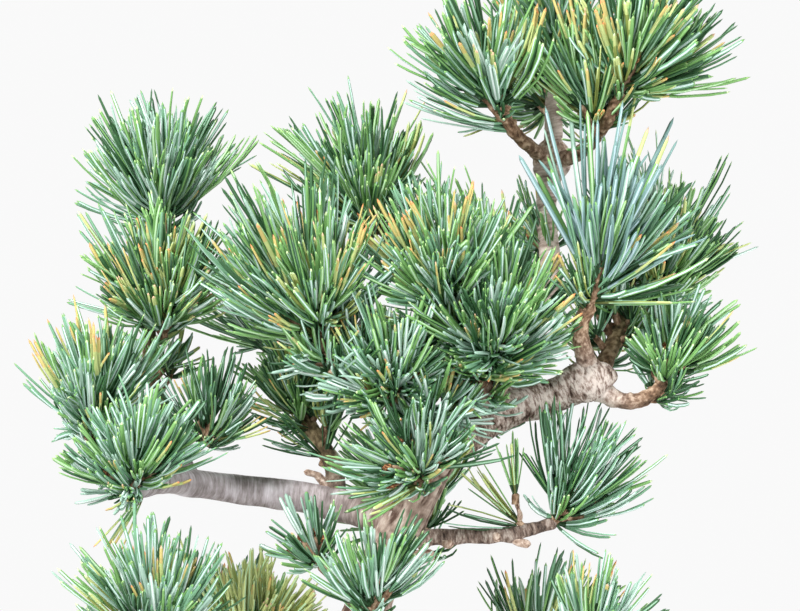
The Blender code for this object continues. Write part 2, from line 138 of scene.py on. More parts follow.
# A cluster is the growth that stands in for one CAD mass: from its root a stem runs a share of the
# way to the first aim, and a tuft's needles reach each aim. Spread is a tuft's half angle in degrees,
# bundles its count of needle bundles, gold the share of ageing bundles, thick a factor on the
# needles' width and skirt the count of short bundles round the foot.
Cluster = namedtuple(
    "Cluster", "name root stem spread bundles tint gold aims thick skirt", defaults=(1.0, 7))
CLUSTERS = [
    Cluster("crown_left_high", (-82, 45, 290), 0.16, 42, 15, "blue", 0.02, [
        (-86, 47, 343), (-98, 46, 340), (-74, 46, 342), (-107, 42, 324), (-67, 40, 328), (-84, 66, 328),
        (-82, 30, 328)]),
    Cluster("crown_left", (-80, 15, 256), 0.2, 44, 14, "green", 0.26, [
        (-82, 10, 303), (-102, 6, 298), (-60, 6, 296), (-107, 6, 280), (-62, 4, 278), (-84, 28, 300),
        (-78, -8, 286)], skirt=12),
    Cluster("crown_centre_high", (-9, 31, 291), 0.12, 40, 17, "green", 0.08, [
        (-21, 31, 342), (-38, 28, 330), (-5, 28, 338), (1, 26, 324), (-16, 14, 324), (-20, 50, 328)]),
    Cluster("centre_left", (-24, -15, 252), 0.22, 40, 15, "fresh", 0.12, [
        (-38, -18, 312), (-56, -20, 304), (-66, -16, 292), (-22, -10, 309), (-10, -20, 296),
        (-60, -30, 270), (-38, -42, 282), (-22, -38, 272)], skirt=20),
    Cluster("centre_right_high", (17, -12, 260), 0.2, 40, 17, "fresh", 0.08, [
        (11, -12, 313), (-4, -14, 305), (23, -8, 306), (-6, -32, 284), (14, -38, 292), (27, -30, 284)]),
    Cluster("centre_right", (29, -12, 245), 0.22, 40, 15, "fresh", 0.05, [
        (38, -20, 293), (54, -18, 280), (58, -20, 262), (56, -24, 244), (24, -42, 278), (8, -36, 266),
        (38, -44, 262), (24, -36, 240)], skirt=26),
    Cluster("centre_small", (-2, -16, 234), 0.3, 50, 10, "blue", 0.07, [
        (-3, -34, 266), (-22, -34, 246), (8, -32, 268), (-14, -30, 270), (-24, -30, 232),
        (14, -32, 252), (12, -30, 232)], skirt=24),
    Cluster("front_centre", (7, -26, 213), 0.06, 34, 5, "blue", 0.04, [
        (3, -34, 246), (-10, -42, 238), (22, -38, 240), (-20, -46, 216), (26, -44, 224),
        (-16, -44, 203)], thick=0.9, skirt=14),
    Cluster("top_left", (34, -4, 329), 0.1, 46, 10, "teal", 0.12, [
        (15, -12, 372), (6, -12, 360), (31, -10, 377), (24, -32, 358),
        (14, 12, 356)], thick=1.12, skirt=3),
    Cluster("top", (53, 23, 341), 0.14, 40, 15, "green", 0.12, [
        (52, 26, 392), (38, 32, 380), (68, 30, 380), (54, 8, 382)]),
    Cluster("top_front", (65, 0, 323), 0.12, 36, 12, "gold", 0.24, [
        (58, -10, 370), (70, -18, 360), (51, -14, 356)]),
    Cluster("top_right", (72, -11, 335), 0.1, 44, 13, "deep", 0.13, [
        (80, -14, 383), (97, -16, 376), (109, -16, 358), (86, -36, 364), (98, 6, 366),
        (102, -18, 342)], thick=1.12, skirt=4),
    Cluster("right_front", (63, -11, 268), 0.05, 19, 8, "wide", 0.02, [
        (70, -14, 320), (82, -20, 314), (72, -32, 302), (64, -18, 312), (92, -24, 298),
        (90, -4, 308)], thick=1.15, skirt=6),
    Cluster("right", (88, -6, 242), 0.08, 40, 11, "green", 0.04, [
        (98, -8, 274), (110, -10, 262), (86, -12, 268), (100, 8, 264), (78, 0, 260)]),
    Cluster("right_back", (89, 38, 268), 0.14, 42, 14, "deep", 0.05, [
        (101, 42, 309), (84, 36, 302), (116, 38, 294), (94, 24, 300), (98, 58, 298), (82, 30, 254),
        (96, 30, 252)]),
    Cluster("leader_side", (51, 30, 284), 0.2, 30, 4, "gold", 0.3, [
        (42, 36, 308), (37, 34, 300), (46, 42, 304)], thick=0.8, skirt=4),
    Cluster("lower_right", (51, -8, 195), 0.05, 30, 6, "teal", 0.02, [
        (60, -10, 240), (75, -14, 230), (51, -9, 234), (66, -24, 222), (82, -14, 214),
        (82, -12, 200)], thick=0.9, skirt=6),
    Cluster("left_front", (-86, -23, 208), 0.12, 42, 13, "mist", 0.03, [
        (-82, -34, 240), (-107, -36, 222), (-63, -34, 226), (-90, -42, 202), (-96, -28, 238),
        (-72, -24, 238)]),
    Cluster("left_middle", (-65, 6, 220), 0.05, 34, 7, "teal", 0.04, [
        (-60, 0, 255), (-74, -2, 250), (-49, 2, 244), (-46, 4, 232)], thick=0.85, skirt=5),
    Cluster("left_edge", (-102, -5, 223), 0.1, 40, 15, "mist", 0.07, [
        (-94, -8, 267), (-112, -6, 260), (-108, -22, 246), (-80, -8, 258), (-100, 12, 252)]),
    Cluster("left_back", (-35, 41, 229), 0.12, 38, 12, "olive", 0.08, [
        (-40, 46, 259), (-54, 42, 250), (-26, 42, 254), (-34, 30, 250), (-20, 46, 246),
        (-16, 40, 236)], thick=0.95, skirt=6),
    Cluster("low_left_front", (-77, -41, 153), 0.18, 40, 15, "mist", 0.08, [
        (-80, -46, 201), (-99, -46, 190), (-61, -42, 192), (-90, -62, 178), (-70, -60, 180),
        (-82, -26, 192)]),
    Cluster("low_left_middle", (-51, 27, 140), 0.22, 38, 11, "lime", 0.08, [
        (-56, 28, 185), (-64, 22, 174), (-44, 30, 180), (-33, 30, 178), (-28, 24, 168)]),
    Cluster("low_left_small", (-27, -5, 181), 0.05, 28, 3, "teal", 0.03, [
        (-42, -7, 205), (-30, -9, 206), (-46, -6, 190), (-22, -10, 202)], thick=0.95, skirt=4),
    Cluster("low_front", (-9, -36, 168), 0.06, 36, 6, "mist", 0.04, [
        (-6, -41, 204), (-24, -44, 190), (10, -44, 194), (2, -44, 202)]),
    Cluster("low_right", (62, -18, 152), 0.08, 34, 4, "mist", 0.05, [
        (68, -20, 190), (54, -22, 182), (86, -24, 182), (68, -36, 178)]),
    Cluster("back_centre", (44, 30, 262), 0.34, 44, 17, "green", 0.05, [
        (16, 82, 300), (36, 86, 286), (-6, 76, 286), (20, 60, 302), (10, 104, 276),
        (32, 102, 268)], skirt=12),
    Cluster("back_left", (-37, 46, 246), 0.3, 44, 17, "blue", 0.05, [
        (-45, 88, 296), (-66, 82, 282), (-24, 92, 284), (-44, 108, 270), (-62, 92, 258)], skirt=12),
    Cluster("back_top", (52, 28, 332), 0.22, 42, 15, "green", 0.1, [
        (47, 76, 377), (28, 68, 360), (66, 70, 364), (48, 94, 352), (58, 84, 338)], skirt=8),
    Cluster("back_right", (90, 42, 271), 0.26, 42, 15, "teal", 0.07, [
        (92, 92, 315), (74, 82, 300), (110, 84, 300), (94, 108, 290), (92, 96, 270)], skirt=10),
    Cluster("back_low", (8, 56, 192), 0.12, 38, 15, "green", 0.05, [
        (-4, 91, 230), (-18, 80, 217), (6, 88, 222), (-3, 104, 207)]),
    Cluster("back_low_left", (-65, 53, 139), 0.14, 46, 15, "blue", 0.05, [
        (-77, 84, 175), (-94, 70, 162), (-60, 84, 166), (-78, 98, 158)]),
    Cluster("back_low_right", (45, 52, 136), 0.14, 40, 15, "green", 0.07, [
        (66, 84, 175), (53, 86, 166), (80, 72, 162), (64, 98, 158)]),
]

# A sparse sprig beside the clusters: its region, base, aim, bundles, half angle in degrees, tint and
# thickness of needles
Sprig = namedtuple("Sprig", "region base aim bundles spread tint thick")
SPRIGS = [
    Sprig("right", (38, -8, 204), (36, -10, 224), 2, 16, "olive", 0.75),
    Sprig("right", (39.5, -7.5, 195), (22, -9, 212), 2, 10, "olive", 0.7),
    Sprig("right", (39.5, -7.5, 194), (14, -9, 198), 1, 4, "olive", 0.7),
    Sprig("right", (51, -8, 195.5), (67, -16, 185), 1, 18, "teal", 0.85),
    Sprig("left", (-27, 30, 215), (-46, 22, 222), 2, 24, "olive", 0.8),
    Sprig("left", (-31, 37, 224), (-54, 30, 226), 2, 26, "olive", 0.8),
    Sprig("left", (-26, 30, 214), (-18, 24, 236), 2, 24, "olive", 0.8),
    Sprig("left", (-84, -14, 206), (-98, -18, 190), 1, 14, "mist", 0.8),
    Sprig("centre", (5, -27, 210), (-22, -36, 209), 2, 12, "teal", 1),
    Sprig("centre", (5, -27, 209), (-19, -38, 202), 2, 12, "blue", 1),
    Sprig("centre", (6, -27, 209), (-11, -40, 196), 1, 12, "green", 1),
    Sprig("centre", (29, -5, 237), (38, -26, 234), 2, 30, "fresh", 0.95),
    Sprig("centre", (20, -8, 236), (26, -30, 226), 2, 30, "blue", 0.9),
    Sprig("centre", (15, -13, 258), (-5, -24, 258), 4, 36, "fresh", 0.95),
    Sprig("right", (61, -11, 266), (51, -22, 280), 2, 16, "gold", 0.95),
    Sprig("right", (62, -11, 268), (56, -24, 286), 2, 16, "gold", 0.95),
    Sprig("right", (63, -11, 268), (92, -20, 276), 2, 14, "gold", 1.05),
    Sprig("right", (63, -11, 270), (88, -22, 290), 1, 10, "gold", 1.15),
    Sprig("right", (64, -12, 277), (50, -16, 328), 1, 3, "wide", 1.3),
    Sprig("right", (64, -12, 279), (66, -16, 334), 1, 3, "wide", 1.3),
    Sprig("right", (65, -12, 277), (88, -16, 329), 1, 3, "wide", 1.3),
    Sprig("top", (38, 1, 325), (3, -10, 334), 2, 10, "teal", 0.9),
    Sprig("top", (36, -1, 328), (11, -12, 330), 2, 14, "teal", 0.9),
    Sprig("top", (34, -4, 333), (1, -14, 350), 1, 12, "green", 0.95),
    Sprig("top", (73, -12, 338), (112, -18, 340), 1, 16, "teal", 0.95),
]

# Short side shoots along a limb: the region of their needles, the limb, the shares of its length
# between which they stand, their count, their needles' least and greatest length and the tint
SideShoots = namedtuple("SideShoots", "region node start end count length tint")
SIDE_SHOOTS = [
    SideShoots("centre", "centre_left_bough", 0.1, 0.95, 38, (10, 19), "blue"),
    SideShoots("centre", "centre_right_bough", 0.25, 0.9, 12, (10, 18), "fresh"),
    SideShoots("centre", "front_bough", 0.5, 1, 8, (9, 15), "blue"),
    SideShoots("right", "main_limb", 0.02, 0.34, 9, (9, 16), "blue"),
    SideShoots("right", "knot_right_bough", 0.55, 0.95, 4, (8, 14), "green"),
    SideShoots("right", "knot_back_bough", 0.12, 0.95, 15, (12, 22), "deep"),
    SideShoots("left", "left_back_bough", 0.5, 0.95, 6, (9, 15), "olive"),
    SideShoots("left", "left_edge_bough", 0.3, 0.9, 7, (10, 18), "mist"),
    SideShoots("left", "upper_left_bough", 0.35, 0.9, 8, (10, 18), "green"),
    SideShoots("back", "centre_back_bough", 0.3, 0.9, 10, (12, 22), "green"),
    SideShoots("back", "knot_back_bough", 0.3, 0.9, 8, (12, 20), "green"),
    SideShoots("back", "low_back_bough", 0.35, 0.9, 8, (12, 20), "green"),
]

# Each region's needles are one piece, which stands for the region's masses
REGIONS = {
    "left": ["crown_left_high", "crown_left", "left_front", "left_middle", "left_edge", "left_back"],
    "centre": ["crown_centre_high", "centre_left", "centre_right_high", "centre_small", "front_centre"],
    "right": ["centre_right", "right_front", "right", "right_back", "leader_side", "lower_right"],
    "top": ["top_left", "top", "top_front", "top_right"],
    "low": ["low_left_front", "low_left_middle", "low_left_small", "low_front", "low_right"],
    "back": ["back_centre", "back_left", "back_top", "back_right", "back_low", "back_low_left",
             "back_low_right"],
}


# ---------------------------------------------------------------- materials


def linear(red, green, blue):
    """A colour given as 0 to 255 display values, as the linear values that shaders take."""
    out = []
    for value in (red, green, blue):
        share = value / 255
        out.append(share / 12.92 if share <= 0.04045 else ((share + 0.055) / 1.055) ** 2.4)
    return (*out, 1.0)


def new_material(name, roughness, specular):
    """A material, its node tree and its shader."""
    made = bpy.data.materials.new(name)
    made.use_nodes = True
    shader = made.node_tree.nodes["Principled BSDF"]
    shader.inputs["Roughness"].default_value = roughness
    shader.inputs["Specular IOR Level"].default_value = specular
    return made, made.node_tree, shader


def add_node(tree, kind, inputs, output, **settings):
    """Add a node whose inputs are links or plain values, and return one of its outputs."""
    made = tree.nodes.new("ShaderNode" + kind)
    for setting, value in settings.items():
        setattr(made, setting, value)
    for socket, value in inputs.items():
        if isinstance(value, bpy.types.NodeSocket):
            tree.links.new(value, made.inputs[socket])
        else:
            made.inputs[socket].default_value = value
    return made.outputs[output]


def maths(tree, operation, *inputs):
    return add_node(tree, "Math", dict(enumerate(inputs)), "Value", operation=operation)


def noise(tree, place_on, scale, detail, roughness=0.55):
    inputs = {"Vector": place_on, "Scale": scale, "Detail": detail, "Roughness": roughness}
    return add_node(tree, "TexNoise", inputs, "Fac")


def ramp(tree, value, stops):
    """Colours that change with a value; stops hold (value, colour)."""
    made = tree.nodes.new("ShaderNodeValToRGB")
    while len(made.color_ramp.elements) < len(stops):
        made.color_ramp.elements.new(0.5)
    for element, (position, colour) in zip(made.color_ramp.elements, stops):
        element.position = position
        element.color = linear(*colour)
    tree.links.new(value, made.inputs["Fac"])
    return made.outputs["Color"]


BUMP_DEPTH = 0.0005


def bump(tree, shader, height, strength, depth=BUMP_DEPTH):
    inputs = {"Height": height, "Strength": strength, "Distance": depth}
    tree.links.new(add_node(tree, "Bump", inputs, "Normal"), shader.inputs["Normal"])


NEEDLE_COLOURS = {
    # The two foot colours are painted shade: each needle's lowest stretch is darker so that the inside of
    # a tuft looks shadowed.
    "shaded_foot_green": (34, 66, 36),
    "shaded_foot_olive": (84, 92, 44),
    "blue_edge": (108, 152, 120),
    "blue_band": (190, 212, 208),
    "green_edge": (110, 156, 90),
    "green_band": (168, 202, 160),
    "deep_edge": (48, 88, 52),
    "deep_band": (124, 160, 134),
    "pale_edge": (148, 178, 162),
    "pale_band": (208, 222, 218),
    "wide_edge": (110, 142, 138),
    "wide_band": (166, 190, 198),
    "olive_edge": (132, 144, 74),
    "olive_band": (176, 188, 122),
    "straw": (186, 170, 104),
    "tip_green": (142, 178, 112),
    "tip_cream": (182, 202, 152),
    "tip_orange": (214, 144, 92),
    "tip_salmon": (198, 166, 134),
}
SLOTS = {name: index for index, name in enumerate(NEEDLE_COLOURS)}

# A needle kind: the colours of its edges, its pale band (partly painted sheen), its foot (darker, as
# painted shade), its last three stretches (None where the edges and the band go on) and its tip
PLAIN = (None, None, None)
TURNING = (None, "olive_band", "straw")
LATE_OLIVE = (None, None, "olive_band")
NEEDLE_KINDS = {
    "blue": ("blue_edge", "blue_band", "shaded_foot_green", PLAIN, "green_edge"),
    "green": ("green_edge", "green_band", "shaded_foot_green", PLAIN, "tip_green"),
    "fresh": ("green_edge", "blue_band", "shaded_foot_green", PLAIN, "tip_cream"),
    "deep": ("deep_edge", "deep_band", "shaded_foot_green", PLAIN, "deep_edge"),
    "shade": ("deep_edge", "green_edge", "shaded_foot_green", PLAIN, "green_edge"),
    "pale": ("pale_edge", "pale_band", "blue_edge", PLAIN, "pale_edge"),
    "wide": ("wide_edge", "wide_band", "blue_edge", PLAIN, "wide_edge"),
    "lime": ("olive_band", "green_band", "shaded_foot_olive", PLAIN, "tip_cream"),
    "olive": ("olive_edge", "green_band", "shaded_foot_olive", LATE_OLIVE, "tip_cream"),
    "turning": ("green_edge", "green_band", "shaded_foot_olive", TURNING, "tip_orange"),
    "orange": ("green_edge", "green_band", "shaded_foot_green", TURNING, "tip_salmon"),
    "salmon": ("green_edge", "blue_band", "shaded_foot_green", LATE_OLIVE, "tip_salmon"),
}

# A tint deals out kinds by these weights; ageing bundles take one of GOLD_KINDS instead
TINTS = {
    "blue": dict(blue=5, fresh=2, deep=3, pale=4, green=2, shade=1),
    "mist": dict(blue=6, fresh=3, pale=3, green=2, deep=3),
    "wide": dict(wide=5, pale=2, blue=5, deep=3, green=3),
    "teal": dict(blue=5, deep=4, shade=2, fresh=2, pale=2, green=1),
    "green": dict(green=5, fresh=3, deep=3, shade=2, blue=3, pale=1),
    "fresh": dict(fresh=4, blue=4, green=4, deep=3, shade=1, pale=2),
    "deep": dict(deep=4, shade=3, green=4, blue=2, olive=2),
    "olive": dict(deep=4, shade=4, green=2, olive=3, blue=1),
    "lime": dict(lime=6, green=2, olive=3, turning=1),
    "gold": dict(green=4, deep=4, fresh=2, blue=2, turning=1, orange=1, olive=1),
}
GOLD_KINDS = ["turning", "orange", "olive", "salmon", "turning"]
BLOOM_SCALE = 400.0  # per metre: blotches about 2.5 mm long
NEEDLE_ROUGHNESS = (0.42, 0.62)
NEEDLE_SPECULAR = 0.35


def needle_material(name, colour):
    """One plain face colour of the needles, with a slightly uneven wax bloom on its gloss."""
    shiny, dull = NEEDLE_ROUGHNESS
    made, tree, shader = new_material(name, roughness=0.5, specular=NEEDLE_SPECULAR)
    shader.inputs["Base Color"].default_value = linear(*colour)
    place_on = add_node(tree, "TexCoord", {}, "Object")
    bloom = noise(tree, place_on, BLOOM_SCALE, detail=2.0)
    gloss = add_node(tree, "MapRange", {"Value": bloom, "To Min": shiny, "To Max": dull}, "Result")
    tree.links.new(gloss, shader.inputs["Roughness"])
    return made


# Bark: the relief it has, the colours of its creases, body and ridges, the streaks' size across and
# along a limb in millimetres, how much they show, and how rough they are
Bark = namedtuple("Bark", "relief crease body ridge streak contrast bump")
BARKS = {
    "old": Bark("plates", (70, 50, 40), (142, 124, 112), (196, 182, 170), (1.6, 4.0), 0.9, 0.7),
    "ridged": Bark("ridges", (54, 38, 30), (136, 116, 106), (206, 194, 186), (2.2, 0.8), 1.9, 1.0),
    "knobbly": Bark("scales", (88, 62, 48), (166, 142, 126), (224, 206, 192), (1.2, 1.2), 1.2, 0.8),
    "dusky": Bark("rings", (46, 36, 32), (116, 98, 88), (184, 172, 162), (3.0, 0.9), 1.5, 0.8),
    "grey": Bark("rings", (96, 76, 66), (176, 160, 150), (218, 206, 198), (4.0, 0.8), 0.9, 0.5),
    "smooth": Bark("smooth", (84, 72, 68), (154, 146, 148), (204, 198, 204), (7.0, 1.1), 0.9, 0.3),
    "olive": Bark("scales", (44, 36, 22), (90, 76, 52), (138, 122, 92), (1.4, 1.8), 1.0, 0.5),
    "young": Bark("scales", (56, 38, 24), (122, 94, 72), (188, 162, 136), (1.2, 1.4), 1.1, 0.6),
    "bud": Bark("scales", (40, 20, 12), (104, 60, 36), (190, 140, 92), (0.8, 0.8), 0.8, 0.4),
}
BARK_ROUGHNESS = 0.82
BARK_SPECULAR = 0.3
PATCH_SCALE = 0.16  # per millimetre: patches about 6 mm wide
PATCH_SHARE = 0.5
# The lowest tones take the crease colour and the highest the ridge colour: partly the bark's own colour,
# partly painted shade and painted highlight.
CREASE_AT, BODY_AT, RIDGE_AT = 0.2, 0.5, 0.82


def bark_material(name, own, foot):
    """Bark coloured by streaks, patches and relief, which turns into its foot's bark with age; on the left
    bough the foot's darker bark runs on as painted shade.
    """
    own, foot = BARKS[own], BARKS[foot]
    made, tree, shader = new_material(name, BARK_ROUGHNESS, BARK_SPECULAR)
    relief = add_node(tree, "Attribute", {}, "Fac", attribute_name="relief")
    grain = add_node(tree, "Attribute", {}, "Vector", attribute_name="grain")
    age_and_shade = add_node(tree, "Attribute", {}, "Fac", attribute_name="age_and_shade")
    across, along = own.streak
    stretch = {"Vector": grain, "Scale": (1 / across, 1 / across, 1 / along)}
    stretched = add_node(tree, "Mapping", stretch, "Vector")
    streaks = noise(tree, stretched, scale=1.0, detail=6.0, roughness=0.68)
    patches = noise(tree, grain, PATCH_SCALE, detail=3.0, roughness=0.6)
    streak_share = maths(tree, "MULTIPLY", streaks, own.contrast)
    patch_share = maths(tree, "MULTIPLY", patches, PATCH_SHARE)
    tone = maths(tree, "ADD", maths(tree, "ADD", streak_share, patch_share), relief)
    # Noise averages a half, so this brings the average tone back to a half
    centred = maths(tree, "SUBTRACT", tone, 0.5 * (own.contrast + PATCH_SHARE))
    colours = []
    for bark in (own, foot):
        stops = [(CREASE_AT, bark.crease), (BODY_AT, bark.body), (RIDGE_AT, bark.ridge)]
        colours.append(ramp(tree, centred, stops))
    mixed = {"Fac": age_and_shade, "Color1": colours[0], "Color2": colours[1]}
    tree.links.new(add_node(tree, "MixRGB", mixed, "Color"), shader.inputs["Base Color"])
    bump(tree, shader, streaks, own.bump)
    return made


# ---------------------------------------------------------------- numbers in space

# An integer hash: a factor for each axis, one for the seed, and shifts and factors that mix the bits
AXIS_FACTORS = np.array([374761393, 668265263, 2246822519], dtype=np.uint64)
SEED_FACTOR = 3266489917
MIX_STEPS = ((15, 2246822519), (13, 3266489917))
LAST_SHIFT = 16
LOW_16, LOW_32 = 0xFFFF, 0xFFFFFFFF
LAYER_FADE = 0.55


def lattice(cell, seed):
    """A repeatable number from 0 to 1 for each whole-number cell (N by 3)."""
    cells = (cell.astype(np.int64) & LOW_32).astype(np.uint64)
    value = (cells * AXIS_FACTORS).sum(1) + np.uint64(seed * SEED_FACTOR & LOW_32)
    value &= np.uint64(LOW_32)
    for shift, factor in MIX_STEPS:
        value ^= value >> np.uint64(shift)
        value = (value * np.uint64(factor)) & np.uint64(LOW_32)
    value ^= value >> np.uint64(LAST_SHIFT)
    return (value & np.uint64(LOW_16)).astype(float) / LOW_16


def smooth_noise(points, seed):
    """Smooth noise from -1 to 1 at points (N by 3), with one lattice cell to a unit."""
    floor = np.floor(points)
    blend = points - floor
    blend = blend * blend * (3 - 2 * blend)
    total = np.zeros(len(points))
    for corner in range(8):
        offset = np.array([corner & 1, corner >> 1 & 1, corner >> 2 & 1])
        weight = np.prod(np.where(offset, blend, 1 - blend), axis=1)
        total += weight * lattice(floor + offset, seed)
    return total * 2 - 1


def layered_noise(points, seed, layers):
    total = np.zeros(len(points))
    size, norm = 1.0, 0.0
    for layer in range(layers):
        total += smooth_noise(points * 2**layer, seed + layer) * size
        norm += size
        size *= LAYER_FADE
    return total / norm


def unit(vectors):
    vectors = np.asarray(vectors, float)
    return vectors / np.maximum(np.linalg.norm(vectors, axis=-1, keepdims=True), 1e-12)


def side_axes(direction):
    """Two unit vectors square to a direction and to each other."""
    direction = unit(direction)
    helper = np.array(UP, float) if abs(direction[2]) < 0.9 else np.array(RIGHT, float)
    first = unit(np.cross(helper, direction))
    return first, np.cross(direction, first)


def leaned(axis, turn, lean):
    """An axis leaned by an angle toward a turn about itself, and the way out at that turn."""
    first, second = side_axes(axis)
    outward = first * math.cos(turn) + second * math.sin(turn)
    return axis * math.cos(lean) + outward * math.sin(lean), outward


def smooth_path(points, step):
    """Points about a step apart on a Catmull-Rom curve through the given ones."""
    knots = np.asarray(points, float)
    padded = np.vstack([2 * knots[0] - knots[1], knots, 2 * knots[-1] - knots[-2]])
    path = [knots[0]]
    for before, start, end, after in zip(padded, padded[1:], padded[2:], padded[3:]):
        count = max(2, round(np.linalg.norm(end - start) / step))
        square = 2 * before - 5 * start + 4 * end - after
        cube = 3 * start - before - 3 * end + after
        for part in range(1, count + 1):
            t = part / count
            path.append(0.5 * (2 * start + (end - before) * t + square * t**2 + cube * t**3))
    return np.array(path)


def lengths_along(path):
    """The distance along a path at each of its points."""
    return np.concatenate([[0], np.cumsum(np.linalg.norm(np.diff(path, axis=0), axis=1))])


# ---------------------------------------------------------------- meshes


class Heap:
    """Vertices, faces, material slots and bark values of many shapes gathered into one mesh."""

    def __init__(self):
        self.verts, self.quads, self.tris = [], [], []
        self.quad_slots, self.tri_slots, self.bark = [], [], []
        self.count = 0

    def add(self, verts, quads, tris, quad_slots=0, tri_slots=0, bark=None):
        """Add a shape. bark has a row for each vertex: its grain's three numbers, relief and age, the last
        of which also carries painted shade on the left bough.
        """
        self.verts.append(verts)
        self.quads.append(quads + self.count)
        self.tris.append(tris + self.count)
        self.quad_slots.append(np.broadcast_to(quad_slots, len(quads)))
        self.tri_slots.append(np.broadcast_to(tri_slots, len(tris)))
        if bark is not None:
            self.bark.append(bark)
        self.count += len(verts)

    def build(self, name, materials, smooth=True):
        """The mesh object, in metres."""
        verts = np.vstack(self.verts) * MM
        quads, tris = np.vstack(self.quads), np.vstack(self.tris)
        mesh = bpy.data.meshes.new(name)
        mesh.vertices.add(len(verts))
        mesh.vertices.foreach_set("co", verts.ravel())
        mesh.loops.add(quads.size + tris.size)
        mesh.loops.foreach_set("vertex_index", np.concatenate([quads.ravel(), tris.ravel()]))
        starts = np.concatenate([np.arange(len(quads)) * 4, quads.size + np.arange(len(tris)) * 3])
        mesh.polygons.add(len(starts))
        mesh.polygons.foreach_set("loop_start", starts)
        mesh.polygons.foreach_set("material_index", np.concatenate(self.quad_slots + self.tri_slots))
        mesh.polygons.foreach_set("use_smooth", np.full(len(starts), smooth))
        mesh.update(calc_edges=True)
        if self.bark:
            bark = np.vstack(self.bark).astype(np.float32)
            grain = mesh.attributes.new("grain", "FLOAT_VECTOR", "POINT")
            grain.data.foreach_set("vector", bark[:, :3].ravel())
            for column, value in ((3, "relief"), (4, "age_and_shade")):
                made = mesh.attributes.new(value, "FLOAT", "POINT")
                made.data.foreach_set("value", bark[:, column].copy())
        mesh.validate()
        return link_mesh(name, mesh, materials)


def link_mesh(name, mesh, materials):
    """An object in the scene that shows a mesh."""
    made = bpy.data.objects.new(name, mesh)
    bpy.context.scene.collection.objects.link(made)
    for material in materials:
        mesh.materials.append(material)
    return made


def ring_quads(rings, sides):
    """Quads between successive rings of a tube whose vertices run ring by ring."""
    ring, side = np.meshgrid(np.arange(rings - 1), np.arange(sides), indexing="ij")
    after = (side + 1) % sides
    low = ring * sides
    high = (ring + 1) * sides
    return np.stack([low + side, low + after, high + after, high + side], -1).reshape(-1, 4)


def fan(centre, start, sides, downward=False):
    """Triangles from one vertex to the ring of vertices that begins at start."""
    side = np.arange(sides)
    ring = [start + side, start + (side + 1) % sides]
    if downward:
        ring.reverse()
    return np.stack([np.full(sides, centre), *ring], -1)


def frames_along(path):
    """Unit tangents of a path and two side vectors carried along it without twist."""
    tangents = unit(np.gradient(path, axis=0))
    first, _ = side_axes(tangents[0])
    across = []
    for tangent in tangents:
        first = unit(first - tangent * np.dot(first, tangent))
        across.append(first)
    across = np.array(across)
    return tangents, across, np.cross(tangents, across)


def place(made, slot, *nodes):
    """Say what body a piece rides on and which CAD nodes it stands for; slot, the finish it would take, is
    not used.
    """
    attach(made, BODY)
    if nodes:
        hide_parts(*nodes)


# ---------------------------------------------------------------- bark

# Relief is a sum of layers of noise: a layer's size across and along the limb, its octaves, how much
# it adds to the height in millimetres and to the tone, its seed, how far it leans, and its form
Relief = namedtuple(
    "Relief", "across along octaves height tone seed lean form", defaults=(0, 0.0, "lumps"))
RIDGE_LEAN = 0.35
# Tone rises and falls with the height, so creases come out darker and ridges lighter: partly the bark's
# own colour, partly painted shade in the creases and painted highlight on the ridges.
RELIEFS = {
    "plates": [Relief(3.0, 9.0, 3, 0.8, 0.3), Relief(9.0, 1.3, 2, 0.25, 0.18, 3),
               Relief(4.0, 13.0, 2, -0.9, -0.34, 7, form="cracks")],
    "ridges": [Relief(4.5, 1.3, 2, 0.2, 0.26, 0, RIDGE_LEAN, "ridges"),
               Relief(2.5, 0.6, 2, 0.1, 0.2, 9, RIDGE_LEAN), Relief(5.0, 6.0, 2, 0.7, 0.1, 3)],
    "rings": [Relief(6.0, 1.1, 3, 0.14, 0.3), Relief(3.5, 5.0, 2, 0.42, 0.14, 3)],
    "smooth": [Relief(8.0, 1.4, 2, 0.09, 0.2), Relief(5.0, 8.0, 2, 0.4, 0.16, 3)],
    "scales": [Relief(0.9, 1.25, 2, 0.26, 0.34), Relief(2.0, 2.8, 2, 0.42, 0.2, 3)],
}
FOLD = 2.6  # how sharply ridges and cracks stand out of their noise
PLATE_DEPTH, PLATE_RADIUS = 0.35, 22.0  # plates are deeper on a thicker trunk

LIMB_STEP = 0.55  # size of a bark facet
TRUNK_STEP = 0.75
TRUNK_BURIED = 2.5  # how far the bark goes on below the soil
FEWEST_SIDES, MOST_SIDES = 8, 120
COLLAR = 0.5  # how much a bough widens where it leaves its limb
COLLAR_LENGTH = 1.4
AGE_LENGTH = 12.0  # how far a bough keeps the bark of its foot
# The left bough's dusky foot bark runs on this far as painted shade.
SHADED_FOOT_LENGTH = {"left_bough": 30.0}
GRAIN_SKEW = 0.3
TIP_ROUND, TIP_LEAST = 0.8, 0.2  # the tip rounds off within so many radii, down to this share
TIP_BULGE = 0.3
LIMB_SEED, LIMB_SEED_STEP = 100, 11
STUB_SEED = 700

# The trunk's own section: its taper and the lobes of its root flare
FLARE_WIDTH = 9.5
FLARE_HEIGHT = 10.0
FLARE_LOBES = 5
FLARE_LOBE_DEPTH = 0.6
TRUNK_TAPER_POWER = 1.4

